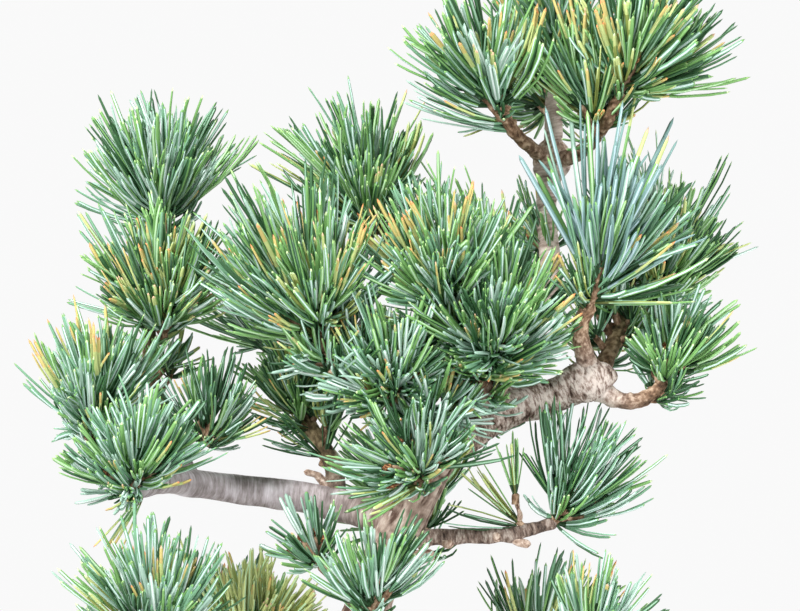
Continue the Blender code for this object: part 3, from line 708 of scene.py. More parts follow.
# Swellings where old branches were, as (share of the length, facing, width, height)
SWELLINGS = {
    "trunk": [(0.3, (0.7, -0.7, 0), 8, 2.4), (0.42, (-0.8, -0.5, 0), 7, 2.6), (0.56, (1, 0.4, 0), 6, 2.2),
              (0.66, FRONT, 6, 1.4), (0.5, (0, 1, 0), 7, 2.4), (0.8, (-1, 0, -0.4), 9, 3.4)],
    "main_limb": [(0.08, (0, -0.4, -1), 7, 1.2), (0.3, (0, -0.6, 0.8), 4, 1.0),
                  (0.62, (0, -0.4, 0.9), 4, 0.8), (0.93, (-0.3, -0.4, 1), 7, 3.2),
                  (0.98, (0.6, -0.6, 0.6), 5, 2.2)],
    "leader": [(0.12, LEFT, 3, 0.8), (0.7, (0.5, -0.8, 0), 3.4, 1.4), (0.76, (-0.8, -0.5, 0), 4.0, 3.0),
               (0.78, (0.9, -0.4, 0), 3.6, 3.0), (0.77, FRONT, 3.4, 2.2), (0.8, (0, 1, 0), 4, 2.0)],
    "left_bough": [(0.0, DOWN, 9, 2.4), (0.18, DOWN, 22, 1.0), (0.4, (0, 0.2, 1), 22, 0.8),
                   (0.5, DOWN, 12, 0.7), (0.24, (0, -0.5, -1), 5, 0.8), (0.66, (0, -0.5, -0.8), 5, 0.8)],
    "lower_right_bough": [(0.34, (0, -0.7, -0.7), 2.0, 1.0), (0.6, (0, -0.9, -0.3), 2.2, 1.2),
                          (0.72, (0, -0.3, -1), 2.4, 0.8)],
    "knot_right_bough": [(0.2, DOWN, 2.2, 0.7), (0.45, UP, 1.8, 0.6), (0.62, DOWN, 1.6, 0.6)],
    "knot_upright_bough": [(0.05, (-1, -0.5, 0), 4, 2.0), (0.05, RIGHT, 4, 1.6)],
}
SWELLING_ROUND = 2.0


def bark_relief(kind, along, around, radius, seed):
    """Height in millimetres and tone of bark, by distance along a limb and angle round it."""
    x, y = np.cos(around) * radius, np.sin(around) * radius
    height, tone = np.zeros(len(along)), np.full(len(along), 0.5)
    for layer in RELIEFS[kind]:
        grain = [x / layer.across, y / layer.across, (along + layer.lean * x) / layer.along]
        field = layered_noise(np.stack(grain, -1), seed + layer.seed, layer.octaves)
        if layer.form == "cracks":
            field = np.clip(1 - np.abs(field) * FOLD, 0, 1) ** 3
        elif layer.form == "ridges":
            field = 1 - FOLD * np.abs(field)
        height += layer.height * field
        tone += layer.tone * field
    if kind == "plates":
        height *= PLATE_DEPTH + radius / PLATE_RADIUS
    return height, np.clip(tone, 0, 1)


def taper(start, end, bulge=0.0):
    """The radius of a limb that tapers, and may bulge in its middle, by its share of the length."""

    def radius(share, _centre_z, _angle):
        return start + (end - start) * share + bulge * np.sin(math.pi * share)

    return radius


def flared(trunk):
    """The radius of the trunk, which flares into lobes at the soil."""

    def radius(share, centre_z, angle):
        plain = trunk.end + (trunk.start - trunk.end) * (1 - share) ** TRUNK_TAPER_POWER
        flare = FLARE_WIDTH * np.exp(-np.maximum(0, centre_z - SOIL_TOP) / FLARE_HEIGHT)
        return plain + flare * (1 + FLARE_LOBE_DEPTH * np.cos(FLARE_LOBES * angle))

    return radius


def bark_tube(heap, path, radii, barks, step, seed, collar=False, swellings=(), foot_bark_length=AGE_LENGTH):
    """Add a limb with its bark's relief. radii(share, centre z, angle) gives its radius, and barks
    names its own bark and that of its foot."""
    lengths = lengths_along(path)
    widest = float(radii(np.array([0.0]), path[:1, 2], np.array([0.0]))[0])
    sides = int(np.clip(round(FULL_TURN * widest / step), FEWEST_SIDES, MOST_SIDES))
    tangents, across, above = frames_along(path)
    turns = np.arange(sides) * FULL_TURN / sides
    share, angle = np.meshgrid(lengths / lengths[-1], turns, indexing="ij")
    along = np.repeat(lengths[:, None], sides, 1)
    radius = radii(share, np.repeat(path[:, 2:3], sides, 1), angle)
    if collar:
        radius = radius * (1 + COLLAR * np.exp(-along / (COLLAR_LENGTH * widest)))
    spokes = np.cos(angle)[..., None] * across[:, None] + np.sin(angle)[..., None] * above[:, None]
    for place_share, facing, width, size in swellings:
        reach = ((along - place_share * lengths[-1]) / width) ** 2
        turn = 1 - spokes @ unit(facing)
        radius = radius + size * np.exp(-reach - turn * SWELLING_ROUND)
    looks = [bark_relief(BARKS[bark].relief, along.ravel(), angle.ravel(), radius.ravel(), seed)
             for bark in barks]
    (own_height, own_tone), (foot_height, foot_tone) = looks
    # The foot's bark fades out along a bough; on the left bough this is painted shade as well as age.
    age_and_shade = np.exp(-((along.ravel() / foot_bark_length) ** 2)) if collar else np.zeros(along.size)
    height = own_height + (foot_height - own_height) * age_and_shade
    tone = own_tone + (foot_tone - own_tone) * age_and_shade
    x, y = np.cos(angle) * radius, np.sin(angle) * radius
    grain = np.stack([x, y, along + GRAIN_SKEW * x], -1).reshape(-1, 3) + seed
    radius = radius + height.reshape(radius.shape)
    ends = np.minimum(1, (1 - share) * lengths[-1] / (TIP_ROUND * radius) + TIP_LEAST)
    radius = radius * np.sqrt(np.clip(ends, 0, 1))
    verts = (path[:, None] + spokes * radius[..., None]).reshape(-1, 3)
    low, high = len(verts), len(verts) + 1
    verts = np.vstack([verts, path[0], path[-1] + tangents[-1] * TIP_BULGE])
    caps = [fan(low, 0, sides, downward=True), fan(high, (len(path) - 1) * sides, sides)]
    bark = np.column_stack([grain, tone, age_and_shade])
    bark = np.vstack([bark, bark[0], bark[-1]])
    heap.add(verts, ring_quads(len(path), sides), np.vstack(caps), bark=bark)


def build_limbs():
    for index, limb in enumerate(LIMBS):
        is_trunk = limb.node == "trunk"
        step = TRUNK_STEP if is_trunk else LIMB_STEP
        path = smooth_path(limb.points, step)
        radii = taper(limb.start, limb.end)
        if is_trunk:
            path = path[path[:, 2] > SOIL_TOP - TRUNK_BURIED]
            radii = flared(limb)
        heap = Heap()
        bark_tube(heap, path, radii, (limb.bark, limb.foot), step, LIMB_SEED + LIMB_SEED_STEP * index,
                  collar=not is_trunk, swellings=SWELLINGS.get(limb.node, ()),
                  foot_bark_length=SHADED_FOOT_LENGTH.get(limb.node, AGE_LENGTH))
        look = bark_material("bark_" + limb.node, limb.bark, limb.foot)
        place(heap.build(limb.node + "_bark", [look]), "bark", limb.node)


def build_stubs():
    """Stubs and swellings, one piece for each kind of bark."""
    heaps = {"knobbly": Heap(), "ridged": Heap()}
    for index, stub in enumerate(STUBS):
        radii = taper(stub.start, stub.end, stub.bulge)
        path = smooth_path(stub.points, LIMB_STEP)
        bark_tube(heaps[stub.bark], path, radii, (stub.bark, stub.bark), LIMB_STEP, STUB_SEED + index)
    for bark, heap in heaps.items():
        look = bark_material(bark + "_bark", bark, bark)
        place(heap.build(bark + "_stubs", [look]), "bark")


# ---------------------------------------------------------------- needles

NEEDLES_PER_BUNDLE = 5
NEEDLE_WIDTH = 1.28
NEEDLE_STATIONS = np.array([0.0, 0.22, 0.52, 0.8, 0.96])
NEEDLE_PROFILE = np.array([0.6, 0.95, 1.0, 0.97, 0.8])
NEEDLE_SIDES = np.array([[-0.5, 0.0], [-0.19, 0.24], [0.19, 0.24], [0.5, 0.0], [0.0, -0.3]])
BAND_SIDE = 1  # the pale face, down the middle of the needle's back, partly its whitish bloom and partly painted sheen
LEAST_LENGTH = 6.0
SHEATH_RADIUS = 0.4
STRAY_SHARE = 0.25  # needles that may differ in kind from the rest of their bundle
# How much chance changes needles within a bundle
FAN_RANGE = (0.5, 1.4)
BEND_RANGE = (0.7, 1.3)
CURL_OUT = (0, 0.15)
NEEDLE_TURN_NOISE = 0.3
NEEDLE_BEND_NOISE = 0.12
NEEDLE_SIZE_NOISE = 0.1
GOLDEN_ANGLE = math.radians(137.5)


def needles(heap, origins, directions, facings, bends, lengths, widths, kinds):
    """Add needles to a heap. Each is a curved blade of five faces round, with a pale band on one, partly
    whitish bloom and partly painted sheen.
    """
    count = len(origins)
    stations = np.append(NEEDLE_STATIONS, 1.0)
    heading = unit(directions[:, None] + stations[None, :, None] * bends[:, None])
    steps = np.diff(stations)[None, :, None] * (heading[:, :-1] + heading[:, 1:]) / 2
    travel = np.concatenate([np.zeros((count, 1, 3)), np.cumsum(steps, axis=1)], axis=1)
    centres = origins[:, None] + travel * lengths[:, None, None]
    ahead = heading[:, :-1]
    outward = unit(facings[:, None] - ahead * (facings[:, None] * ahead).sum(-1, keepdims=True))
    sideways = np.cross(ahead, outward)
    scale = (NEEDLE_PROFILE[None, :] * widths[:, None])[..., None]
    ring = (
        centres[:, :-1, None]
        + sideways[:, :, None] * (NEEDLE_SIDES[:, 0] * scale)[..., None]
        + outward[:, :, None] * (NEEDLE_SIDES[:, 1] * scale)[..., None]
    )
    rings, sides = len(NEEDLE_STATIONS), len(NEEDLE_SIDES)
    tip = rings * sides
    verts = np.concatenate([ring.reshape(count, tip, 3), centres[:, -1:]], axis=1).reshape(-1, 3)
    shift = np.arange(count)[:, None, None] * (tip + 1)
    quads = (ring_quads(rings, sides)[None] + shift).reshape(-1, 4)
    tris = (fan(tip, tip - sides, sides)[None] + shift).reshape(-1, 3)
    heap.add(verts, quads, tris, KIND_QUADS[kinds].reshape(-1), np.repeat(KIND_TIPS[kinds], sides))


def kind_tables():
    """For each needle kind, the slot of each of its quads and of its tip."""
    quads, tips = [], []
    for edge, band, foot, late, tip in NEEDLE_KINDS.values():
        plain = [band if side == BAND_SIDE else edge for side in range(len(NEEDLE_SIDES))]
        # The first stretch takes the kind's darker foot colour, painted shade; the later stretches take
        # theirs or the plain faces.
        quads.append([SLOTS[stretch or face] for stretch in (foot, *late) for face in plain])
        tips.append(SLOTS[tip])
    return np.array(quads), np.array(tips)


KIND_QUADS, KIND_TIPS = kind_tables()
KIND_NUMBERS = {name: index for index, name in enumerate(NEEDLE_KINDS)}


def pick_kind(dice, tint, gold_share):
    """The kind of one bundle's needles."""
    if dice.random() < gold_share:
        return KIND_NUMBERS[GOLD_KINDS[dice.integers(len(GOLD_KINDS))]]
    weights = np.array(list(TINTS[tint].values()), float)
    return KIND_NUMBERS[list(TINTS[tint])[dice.choice(len(weights), p=weights / weights.sum())]]


def bundle(heap, dice, origin, heading, length, bend, width, fan_degrees, tint, gold):
    """Add one bundle of needles, which fans out from its sheath."""
    kind = pick_kind(dice, tint, gold)
    aside, above = side_axes(heading)
    phase = dice.uniform(0, FULL_TURN)
    open_angle = math.radians(fan_degrees)
    rows = []
    for needle in range(NEEDLES_PER_BUNDLE):
        turn = phase + FULL_TURN * needle / NEEDLES_PER_BUNDLE + dice.normal(0, NEEDLE_TURN_NOISE)
        away = aside * math.cos(turn) + above * math.sin(turn)
        direction = unit(heading + away * math.tan(open_angle * dice.uniform(*FAN_RANGE)))
        own_bend = bend * dice.uniform(*BEND_RANGE) - away * dice.uniform(*CURL_OUT)
        own_bend = own_bend + dice.normal(0, NEEDLE_BEND_NOISE, 3)
        own_length = max(LEAST_LENGTH, length * dice.normal(1.0, NEEDLE_SIZE_NOISE))
        own_width = width * dice.normal(1.0, NEEDLE_SIZE_NOISE)
        own_kind = kind if dice.random() > STRAY_SHARE else pick_kind(dice, tint, gold)
        foot = origin + away * SHEATH_RADIUS
        rows.append((foot, direction, away, own_bend, own_length, own_width, own_kind))
    needles(heap, *(np.array(column) for column in zip(*rows)))


# ---------------------------------------------------------------- twigs and buds

TWIG_STEP = 1.3
TWIG_START, TWIG_END = 1.5, 1.05
TWIG_SAG = 0.08
BUD_SIDES = 10
BUD_LENGTH, BUD_RADIUS = (3.2, 5.0), (1.0, 1.4)
# A bud's rings, as (height, radius), both against its own
BUD_PROFILE = [
    (0.0, 0.55), (0.15, 0.92), (0.35, 1.0), (0.55, 0.86), (0.75, 0.6), (0.9, 0.32), (1.0, 0.06),
]
BUD_TIP = 1.04
SCALE_HEIGHT = 0.16
SCALE_ROWS, SCALE_SPIRAL = 3, 2.1
SCALE_TONE, SCALE_TONE_NOISE, TIP_TONE = 2.4, 0.1, 0.7


def twig(heap, start, end, axis, seed):
    """Add a thin twig whose middle hangs back a little from its tuft's axis."""
    start, end = np.asarray(start, float), np.asarray(end, float)
    middle = start + (end - start) * 0.5 - axis * TWIG_SAG * np.linalg.norm(end - start)
    path = smooth_path([start, middle, end], TWIG_STEP)
    bark_tube(heap, path, taper(TWIG_START, TWIG_END), ("young", "young"), TWIG_STEP, seed)


def bud(heap, foot, axis, dice):
    """Add one pointed bud with a spiral of scales."""
    length, radius = dice.uniform(*BUD_LENGTH), dice.uniform(*BUD_RADIUS)
    first, second = side_axes(axis)
    phase = dice.uniform(0, FULL_TURN)
    verts, tones = [], []
    for level, (height, share) in enumerate(BUD_PROFILE):
        for side in range(BUD_SIDES):
            angle = phase + FULL_TURN * side / BUD_SIDES
            scale = SCALE_HEIGHT * math.cos(SCALE_ROWS * angle + SCALE_SPIRAL * level)
            spoke = first * math.cos(angle) + second * math.sin(angle)
            verts.append(foot + axis * length * height + spoke * radius * share * (1 + scale))
            tones.append(0.5 + SCALE_TONE * scale + dice.uniform(-SCALE_TONE_NOISE, SCALE_TONE_NOISE))
    verts.append(foot + axis * length * BUD_TIP)
    tones.append(TIP_TONE)
    rings = len(BUD_PROFILE)
    verts = np.array(verts)
    bark = np.column_stack([verts, np.clip(tones, 0, 1), np.zeros(len(verts))])
    tip = fan(rings * BUD_SIDES, (rings - 1) * BUD_SIDES, BUD_SIDES)
    heap.add(verts, ring_quads(rings, BUD_SIDES), tip, bark=bark)


# ---------------------------------------------------------------- tufts, clusters and sprigs

# A tuft: a short shoot with bundles in a spiral up it, the lowest leaning out most
SHOOT_SHARE, MOST_SHOOT = 0.32, 18.0  # length of the shoot, against its tuft's and at most
BUNDLE_FAN = (4.0, 12.0)
BUNDLE_OUT = 0.8
MAIN_TUFT_SHARE = 1.4  # a cluster's main tuft has this many times the bundles of a side tuft
MAIN_OPENING, SIDE_OPENING = 1.7, 1.25  # the lowest needles lean out by so many times the spread
LEAN_POWER, LEAST_LEAN, LEAN_NOISE = 0.85, 6, 0.14
TURN_NOISE = 0.35
LIFT_AXIS, LIFT_UP = 0.6, 0.5  # needles turn toward a mix of their shoot's axis and straight up
SWEEP, LEAST_SWEEP = 1.2, 0.05  # how strongly needles that lean out turn back up
BEND_NOISE = 0.27
LENGTH_SHARE = (0.6, 1.08)  # length of a bundle, against the way to the cluster's outline
SIDE_SHORTER = 0.2  # needles square to the shoot are shorter by this share
DROOP_SHARE, DROOP_GAIN = 0.62, 4  # length of needles that point down, against their tuft's
WIDTH_NOISE = 0.08
LOW_HALF, LOW_GOLD, HIGH_GOLD = 0.45, 2.0, 0.6  # ageing bundles are commoner low on a shoot
SIDE_JOINT, SIDE_JOINT_NOISE = 0.07, 0.4
BUD_SUNK, TWIG_PAST = 0.8, 0.5

# The short, strongly curved bundles of a skirt round a cluster's foot and of side shoots on limbs
SKIRT_LENGTH = (9.0, 19.0)
SKIRT_LEAN = (58, 108)
SKIRT_PLACE = (-0.2, 1.0)
SKIRT_BEND, SKIRT_BEND_NOISE = (0.6, 1.4), 0.15
SKIRT_TURN_NOISE = 0.4
SKIRT_WIDTH = 0.95
SHORT_FAN = (8, 20)
SIDE_BUNDLES = 4
SIDE_TWIG_LENGTH = (2.0, 9.0)
SIDE_LEAN = (15, 85)
SIDE_UP, SIDE_AHEAD = 0.55, 0.3
SIDE_BEND, SIDE_BEND_NOISE = (0.2, 1.3), 0.3
SIDE_PLACE = (0, 2.0)
SIDE_TURN = (0, 1.5)
SIDE_WIDTH, SIDE_GOLD = 0.92, 0.12

# A sprig: a few loose bundles
SPRIG_TURN = (0, 6)
SPRIG_LEAN = (0.2, 1.0)
SPRIG_BEND, SPRIG_BEND_NOISE = (0.1, 0.55), 0.1
SPRIG_LENGTH_NOISE = 0.08
SPRIG_FAN, SPRIG_GOLD = (7, 14), 0.1
SPRIG_TWIG = (-2.5, 1.5)  # its twig's ends along its axis, from its base

REGION_SEED, CLUSTER_SEED = 1000, 20
SPRIG_SEED, SIDE_SEED, SIDE_SEED_STEP = 9000, 12000, 50


def tuft(heap, dice, base, axis, reach, bundles, cluster, opening):
    """Add a tuft whose needles end at its reach; returns the length of its shoot."""
    shoot = min(MOST_SHOOT, SHOOT_SHARE * reach)
    lift = unit(LIFT_AXIS * axis + LIFT_UP * np.array(UP))
    for number in range(bundles):
        height = (number + 0.5) / bundles
        turn = number * GOLDEN_ANGLE + dice.normal(0, TURN_NOISE)
        lean = math.radians(cluster.spread * opening * (1 - height) ** LEAN_POWER + LEAST_LEAN)
        lean = lean + dice.normal(0, LEAN_NOISE)
        heading, outward = leaned(axis, turn, lean)
        origin = base + axis * shoot * height + outward * BUNDLE_OUT
        length = (reach - shoot * height) * (1 - SIDE_SHORTER * math.sin(lean) ** 2)
        length = length * dice.uniform(*LENGTH_SHARE)
        if heading[2] < 0:
            length *= 1 + (DROOP_SHARE - 1) * min(1.0, -DROOP_GAIN * heading[2])
        across = heading - lift * np.dot(heading, lift)
        bend = lift * (LEAST_SWEEP + SWEEP * np.linalg.norm(across)) + dice.normal(0, BEND_NOISE, 3)
        width = NEEDLE_WIDTH * cluster.thick * dice.normal(1.0, WIDTH_NOISE)
        gold = cluster.gold * (LOW_GOLD if height < LOW_HALF else HIGH_GOLD)
        bundle(heap, dice, origin, heading, length, bend, width,
               dice.uniform(*BUNDLE_FAN), cluster.tint, gold)
    return shoot


def skirt(heap, dice, root, stem, cluster):
    """Add short, strongly curved bundles round the foot of a cluster."""
    axis = unit(stem)
    for number in range(cluster.skirt):
        turn = number * GOLDEN_ANGLE + dice.normal(0, SKIRT_TURN_NOISE)
        heading, outward = leaned(axis, turn, math.radians(dice.uniform(*SKIRT_LEAN)))
        origin = root + stem * dice.uniform(*SKIRT_PLACE) + outward
        bend = axis * dice.uniform(*SKIRT_BEND) + dice.normal(0, SKIRT_BEND_NOISE, 3)
        length = dice.uniform(*SKIRT_LENGTH)
        bundle(heap, dice, origin, heading, length, bend, NEEDLE_WIDTH * SKIRT_WIDTH,
               dice.uniform(*SHORT_FAN), cluster.tint, cluster.gold)


def grow_sprig(heap, twigs, sprig, seed):
    """Add a few loose bundles on a short side shoot."""
    dice = np.random.default_rng(seed)
    base = np.array(sprig.base, float)
    reach = np.array(sprig.aim, float) - base
    axis = unit(reach)
    for number in range(sprig.bundles):
        turn = number * GOLDEN_ANGLE + dice.uniform(*SPRIG_TURN)
        heading, _ = leaned(axis, turn, math.radians(dice.uniform(*SPRIG_LEAN) * sprig.spread))
        bend = np.array(UP) * dice.uniform(*SPRIG_BEND) + dice.normal(0, SPRIG_BEND_NOISE, 3)
        length = np.linalg.norm(reach) * dice.normal(1.0, SPRIG_LENGTH_NOISE)
        bundle(heap, dice, base, heading, length, bend, NEEDLE_WIDTH * sprig.thick,
               dice.uniform(*SPRIG_FAN), sprig.tint, SPRIG_GOLD)
    start, end = SPRIG_TWIG
    twig(twigs, base + axis * start, base + axis * end, axis, seed)


def grow_side_shoots(heap, twigs, shoots, seed):
    """Add short twigs along a limb, each with a few short bundles at its end."""
    dice = np.random.default_rng(seed)
    limb = next(limb for limb in LIMBS if limb.node == shoots.node)
    path = smooth_path(limb.points, LIMB_STEP)
    tangents, across, above = frames_along(path)
    for number in range(shoots.count):
        share = shoots.start + (shoots.end - shoots.start) * (number + dice.random()) / shoots.count
        spot = min(len(path) - 1, int(share * len(path)))
        turn = dice.uniform(0, FULL_TURN)
        outward = across[spot] * math.cos(turn) + above[spot] * math.sin(turn)
        axis = unit(outward + np.array(UP) * SIDE_UP + tangents[spot] * SIDE_AHEAD)
        base = path[spot] + axis * (limb.end + dice.uniform(*SIDE_TWIG_LENGTH))
        twig(twigs, path[spot], base, axis, seed + number)
        for part in range(SIDE_BUNDLES):
            spin = part * GOLDEN_ANGLE + dice.uniform(*SIDE_TURN)
            heading, _ = leaned(axis, spin, math.radians(dice.uniform(*SIDE_LEAN)))
            bend = np.array(UP) * dice.uniform(*SIDE_BEND) + dice.normal(0, SIDE_BEND_NOISE, 3)
            origin = base - axis * dice.uniform(*SIDE_PLACE)
            length = dice.uniform(*shoots.length)
            bundle(heap, dice, origin, heading, length, bend, NEEDLE_WIDTH * SIDE_WIDTH,
                   dice.uniform(*SHORT_FAN), shoots.tint, SIDE_GOLD)


def grow_cluster(heap, twigs, buds, cluster, seed):
    """Grow one cluster: a stem toward the first aim, and side shoots up it toward the others."""
    dice = np.random.default_rng(seed)
    root = np.array(cluster.root, float)
    aims = np.array(cluster.aims, float)
    stem = (aims[0] - root) * cluster.stem
    for index, aim in enumerate(aims):
        if index == 0:
            joint, base = root, root + stem
            bundles, opening = round(cluster.bundles * MAIN_TUFT_SHARE), MAIN_OPENING
        else:
            joint = root + stem * (index - 1) / len(aims)
            base = joint + (aim - joint) * SIDE_JOINT + dice.normal(0, SIDE_JOINT_NOISE, 3)
            bundles, opening = cluster.bundles, SIDE_OPENING
        axis = unit(aim - base)
        shoot = tuft(heap, dice, base, axis, np.linalg.norm(aim - base), bundles, cluster, opening)
        top = base + axis * (shoot + TWIG_PAST)
        twig(twigs, joint, top, axis, seed + index)
        bud(buds, top - axis * BUD_SUNK, axis, dice)
    skirt(heap, dice, root, stem, cluster)


def build_foliage():
    """Twigs, buds and needles of every cluster, sprig and side shoot."""
    clusters = {cluster.name: cluster for cluster in CLUSTERS}
    looks = [needle_material(name, colour) for name, colour in NEEDLE_COLOURS.items()]
    twigs, buds = Heap(), Heap()
    for number, (region, members) in enumerate(REGIONS.items()):
        heap = Heap()
        for index, member in enumerate(members):
            seed = REGION_SEED * (number + 1) + CLUSTER_SEED * index
            grow_cluster(heap, twigs, buds, clusters[member], seed)
        for index, sprig in enumerate(SPRIGS):
            if sprig.region == region:
                grow_sprig(heap, twigs, sprig, SPRIG_SEED + index)
        for index, shoots in enumerate(SIDE_SHOOTS):
            if shoots.region == region:
                grow_side_shoots(heap, twigs, shoots, SIDE_SEED + SIDE_SEED_STEP * index)
        nodes = ["mass_" + member for member in members]
        place(heap.build("needles_" + region, looks), "needles", *nodes)
    place(twigs.build("twigs", [bark_material("twig_bark", "young", "young")]), "bark")
    place(buds.build("buds", [bark_material("bud_scales", "bud", "bud")]), "bark")


# ---------------------------------------------------------------- pot and soil

POT_POINTS = 240
RIM_CORNER, LEAST_CORNER = 30.0, 4.0  # radius of the corners, on the rim and at least
CORNER_SHRINK = 0.8  # how much of the inset the corner's radius gives up
CORNER_STEPS = 12
# Half-section of the pot as (inset from the rim's outer face, height), foot to rim to inside
POT_SECTION = [
    (30.0, 0.0), (13.0, 0.0), (11.4, 0.4), (10.8, 1.6), (9.2, 10.0), (7.6, 22.0), (6.0, 33.0), (5.2, 38.6),
    (4.6, 40.4), (2.6, 41.2), (0.9, 41.8), (0.2, 43.2), (0.1, 47.4), (0.5, 49.2), (1.8, 49.9), (9.0, 50.0),
    (10.3, 49.6), (10.9, 48.4), (11.2, 46.0), (11.8, 40.0),
]
CLAY_CLOUDS, CLAY_GRIT, GRIT_SHARE = 60.0, 1100.0, 0.8  # sizes per metre
CLAY_COLOURS = [(0.62, (86, 52, 38)), (0.9, (112, 70, 51)), (1.0, (128, 84, 62))]

SOIL_EDGE, SOIL_MOUND, SOIL_SLOPE = 41.0, 2.6, 0.45  # height at the wall, rise, and share of slope
SOIL_GAP, SOIL_CORNER, SOIL_CORNER_STEPS = 1.0, 18, 10
SOIL_POINTS, SOIL_RINGS, LEAST_RING = 150, 34, 0.04
SOIL_BUMP, SOIL_BUMP_SIZE, SOIL_BUMP_LAYERS, SOIL_BUMP_SEED = 0.7, 3.0, 3, 5
GRAIN_COUNT, GRAIN_SEED = 2100, 77
GRAIN_SPREAD = (-0.485, 0.485)
GRAIN_SIZE, GRAIN_NARROW, GRAIN_TALL = (1.0, 2.4), (0.7, 1.0), (0.55, 0.85)
GRAIN_LIFT = (-0.3, 0.6)
GRAIN_COLOURS = [
    (150, 108, 70), (122, 84, 54), (96, 66, 46), (170, 138, 104), (84, 76, 70), (186, 176, 164),
]
GRAIN_SHARES = [0.26, 0.24, 0.18, 0.14, 0.12, 0.06]
BED_COLOUR = 2
GRAIN_MOTTLE = 1400.0
GRAIN_DARK, GRAIN_LIGHT = 0.7, 1.15
STONE_SIDES, STONE_LEVELS = 5, 2
STONE_RANGE = (0.78, 1.12)


def rounded_outline(width, depth, radius, steps, count):
    """Evenly spaced points round a rounded rectangle, anticlockwise from the +X side."""
    points = []
    for quarter, (side_x, side_y) in enumerate([(1, 1), (-1, 1), (-1, -1), (1, -1)]):
        for step in range(steps + 1):
            angle = math.pi / 2 * (quarter + step / steps)
            x = side_x * (width / 2 - radius) + radius * math.cos(angle)
            y = side_y * (depth / 2 - radius) + radius * math.sin(angle)
            points.append((x, y))
    closed = np.array(points + points[:1])
    lengths = lengths_along(closed)
    places = np.arange(count) * lengths[-1] / count
    return np.stack([np.interp(places, lengths, closed[:, axis]) for axis in (0, 1)], -1)


def size_of(node):
    """Width and depth of a CAD node in millimetres."""
    low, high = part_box(node)
    return (high.x - low.x) / MM, (high.y - low.y) / MM


def clay_material():
    made, tree, shader = new_material("clay", roughness=0.72, specular=0.35)
    place_on = add_node(tree, "TexCoord", {}, "Object")
    clouds = noise(tree, place_on, CLAY_CLOUDS, detail=6.0, roughness=0.7)
    grit = noise(tree, place_on, CLAY_GRIT, detail=3.0, roughness=0.7)
    mixed = maths(tree, "MULTIPLY_ADD", grit, GRIT_SHARE, clouds)
    tree.links.new(ramp(tree, mixed, CLAY_COLOURS), shader.inputs["Base Color"])
    bump(tree, shader, grit, strength=0.35)
    return made


def build_pot():
    width, depth = size_of("pot")
    rings = []
    for inset, height in POT_SECTION:
        radius = max(LEAST_CORNER, RIM_CORNER - inset * CORNER_SHRINK)
        outline = rounded_outline(width - 2 * inset, depth - 2 * inset, radius, CORNER_STEPS, POT_POINTS)
        rings.append(np.column_stack([outline, np.full(POT_POINTS, height)]))
    verts = np.vstack(rings + [[[0, 0, 0]]])
    heap = Heap()
    foot = fan(len(verts) - 1, 0, POT_POINTS, downward=True)
    heap.add(verts, ring_quads(len(rings), POT_POINTS), foot)
    place(heap.build("pot_body", [clay_material()]), "clay", "pot")


def grain_material(index, colour):
    made, tree, shader = new_material(f"grain_{index}", roughness=0.95, specular=0.2)
    mottle = noise(tree, add_node(tree, "TexCoord", {}, "Object"), GRAIN_MOTTLE, detail=4.0)
    dark = tuple(value * GRAIN_DARK for value in colour)
    light = tuple(min(255, value * GRAIN_LIGHT) for value in colour)
    tree.links.new(ramp(tree, mottle, [(0.3, dark), (0.7, light)]), shader.inputs["Base Color"])
    bump(tree, shader, mottle, strength=0.6, depth=0.0004)
    return made


def rough_stone(dice):
    """Vertices and faces of one angular grain of unit radius."""
    verts = [(0, 0, -1)]
    for level in range(STONE_LEVELS):
        slope = math.pi * (level + 1) / (STONE_LEVELS + 1)
        for side in range(STONE_SIDES):
            angle = FULL_TURN * (side + 0.5 * (level % 2)) / STONE_SIDES
            ring_x, ring_y = math.sin(slope) * math.cos(angle), math.sin(slope) * math.sin(angle)
            verts.append((ring_x, ring_y, -math.cos(slope)))
    verts.append((0, 0, 1))
    verts = np.array(verts) * dice.uniform(*STONE_RANGE, (len(verts), 1))
    foot = fan(0, 1, STONE_SIDES, downward=True)
    head = fan(len(verts) - 1, 1 + (STONE_LEVELS - 1) * STONE_SIDES, STONE_SIDES)
    return verts, ring_quads(STONE_LEVELS, STONE_SIDES) + 1, np.vstack([foot, head])


def soil_height(x, y, width, depth):
    """The soil's surface: level at the wall, rising to a low mound round the trunk."""
    across = np.maximum(np.abs(x) / (width / 2), np.abs(y) / (depth / 2))
    rise = np.clip((1 - across) / SOIL_SLOPE, 0, 1)
    return SOIL_EDGE + SOIL_MOUND * rise * rise * (3 - 2 * rise)


def soil_bed(width, depth):
    """The soil under the loose grains."""
    outline = rounded_outline(
        width - SOIL_GAP, depth - SOIL_GAP, SOIL_CORNER, SOIL_CORNER_STEPS, SOIL_POINTS)
    rings = []
    for share in np.linspace(1, LEAST_RING, SOIL_RINGS):
        points = outline * share
        height = soil_height(points[:, 0], points[:, 1], width, depth)
        grain = np.column_stack([points / SOIL_BUMP_SIZE, np.zeros(SOIL_POINTS)])
        bumps = layered_noise(grain, SOIL_BUMP_SEED, SOIL_BUMP_LAYERS)
        rings.append(np.column_stack([points, height + SOIL_BUMP * bumps]))
    verts = np.vstack(rings + [[[0, 0, SOIL_EDGE + SOIL_MOUND]]])
    bed = Heap()
    middle = fan(len(verts) - 1, (SOIL_RINGS - 1) * SOIL_POINTS, SOIL_POINTS)
    bed.add(verts, ring_quads(SOIL_RINGS, SOIL_POINTS), middle)
    return bed


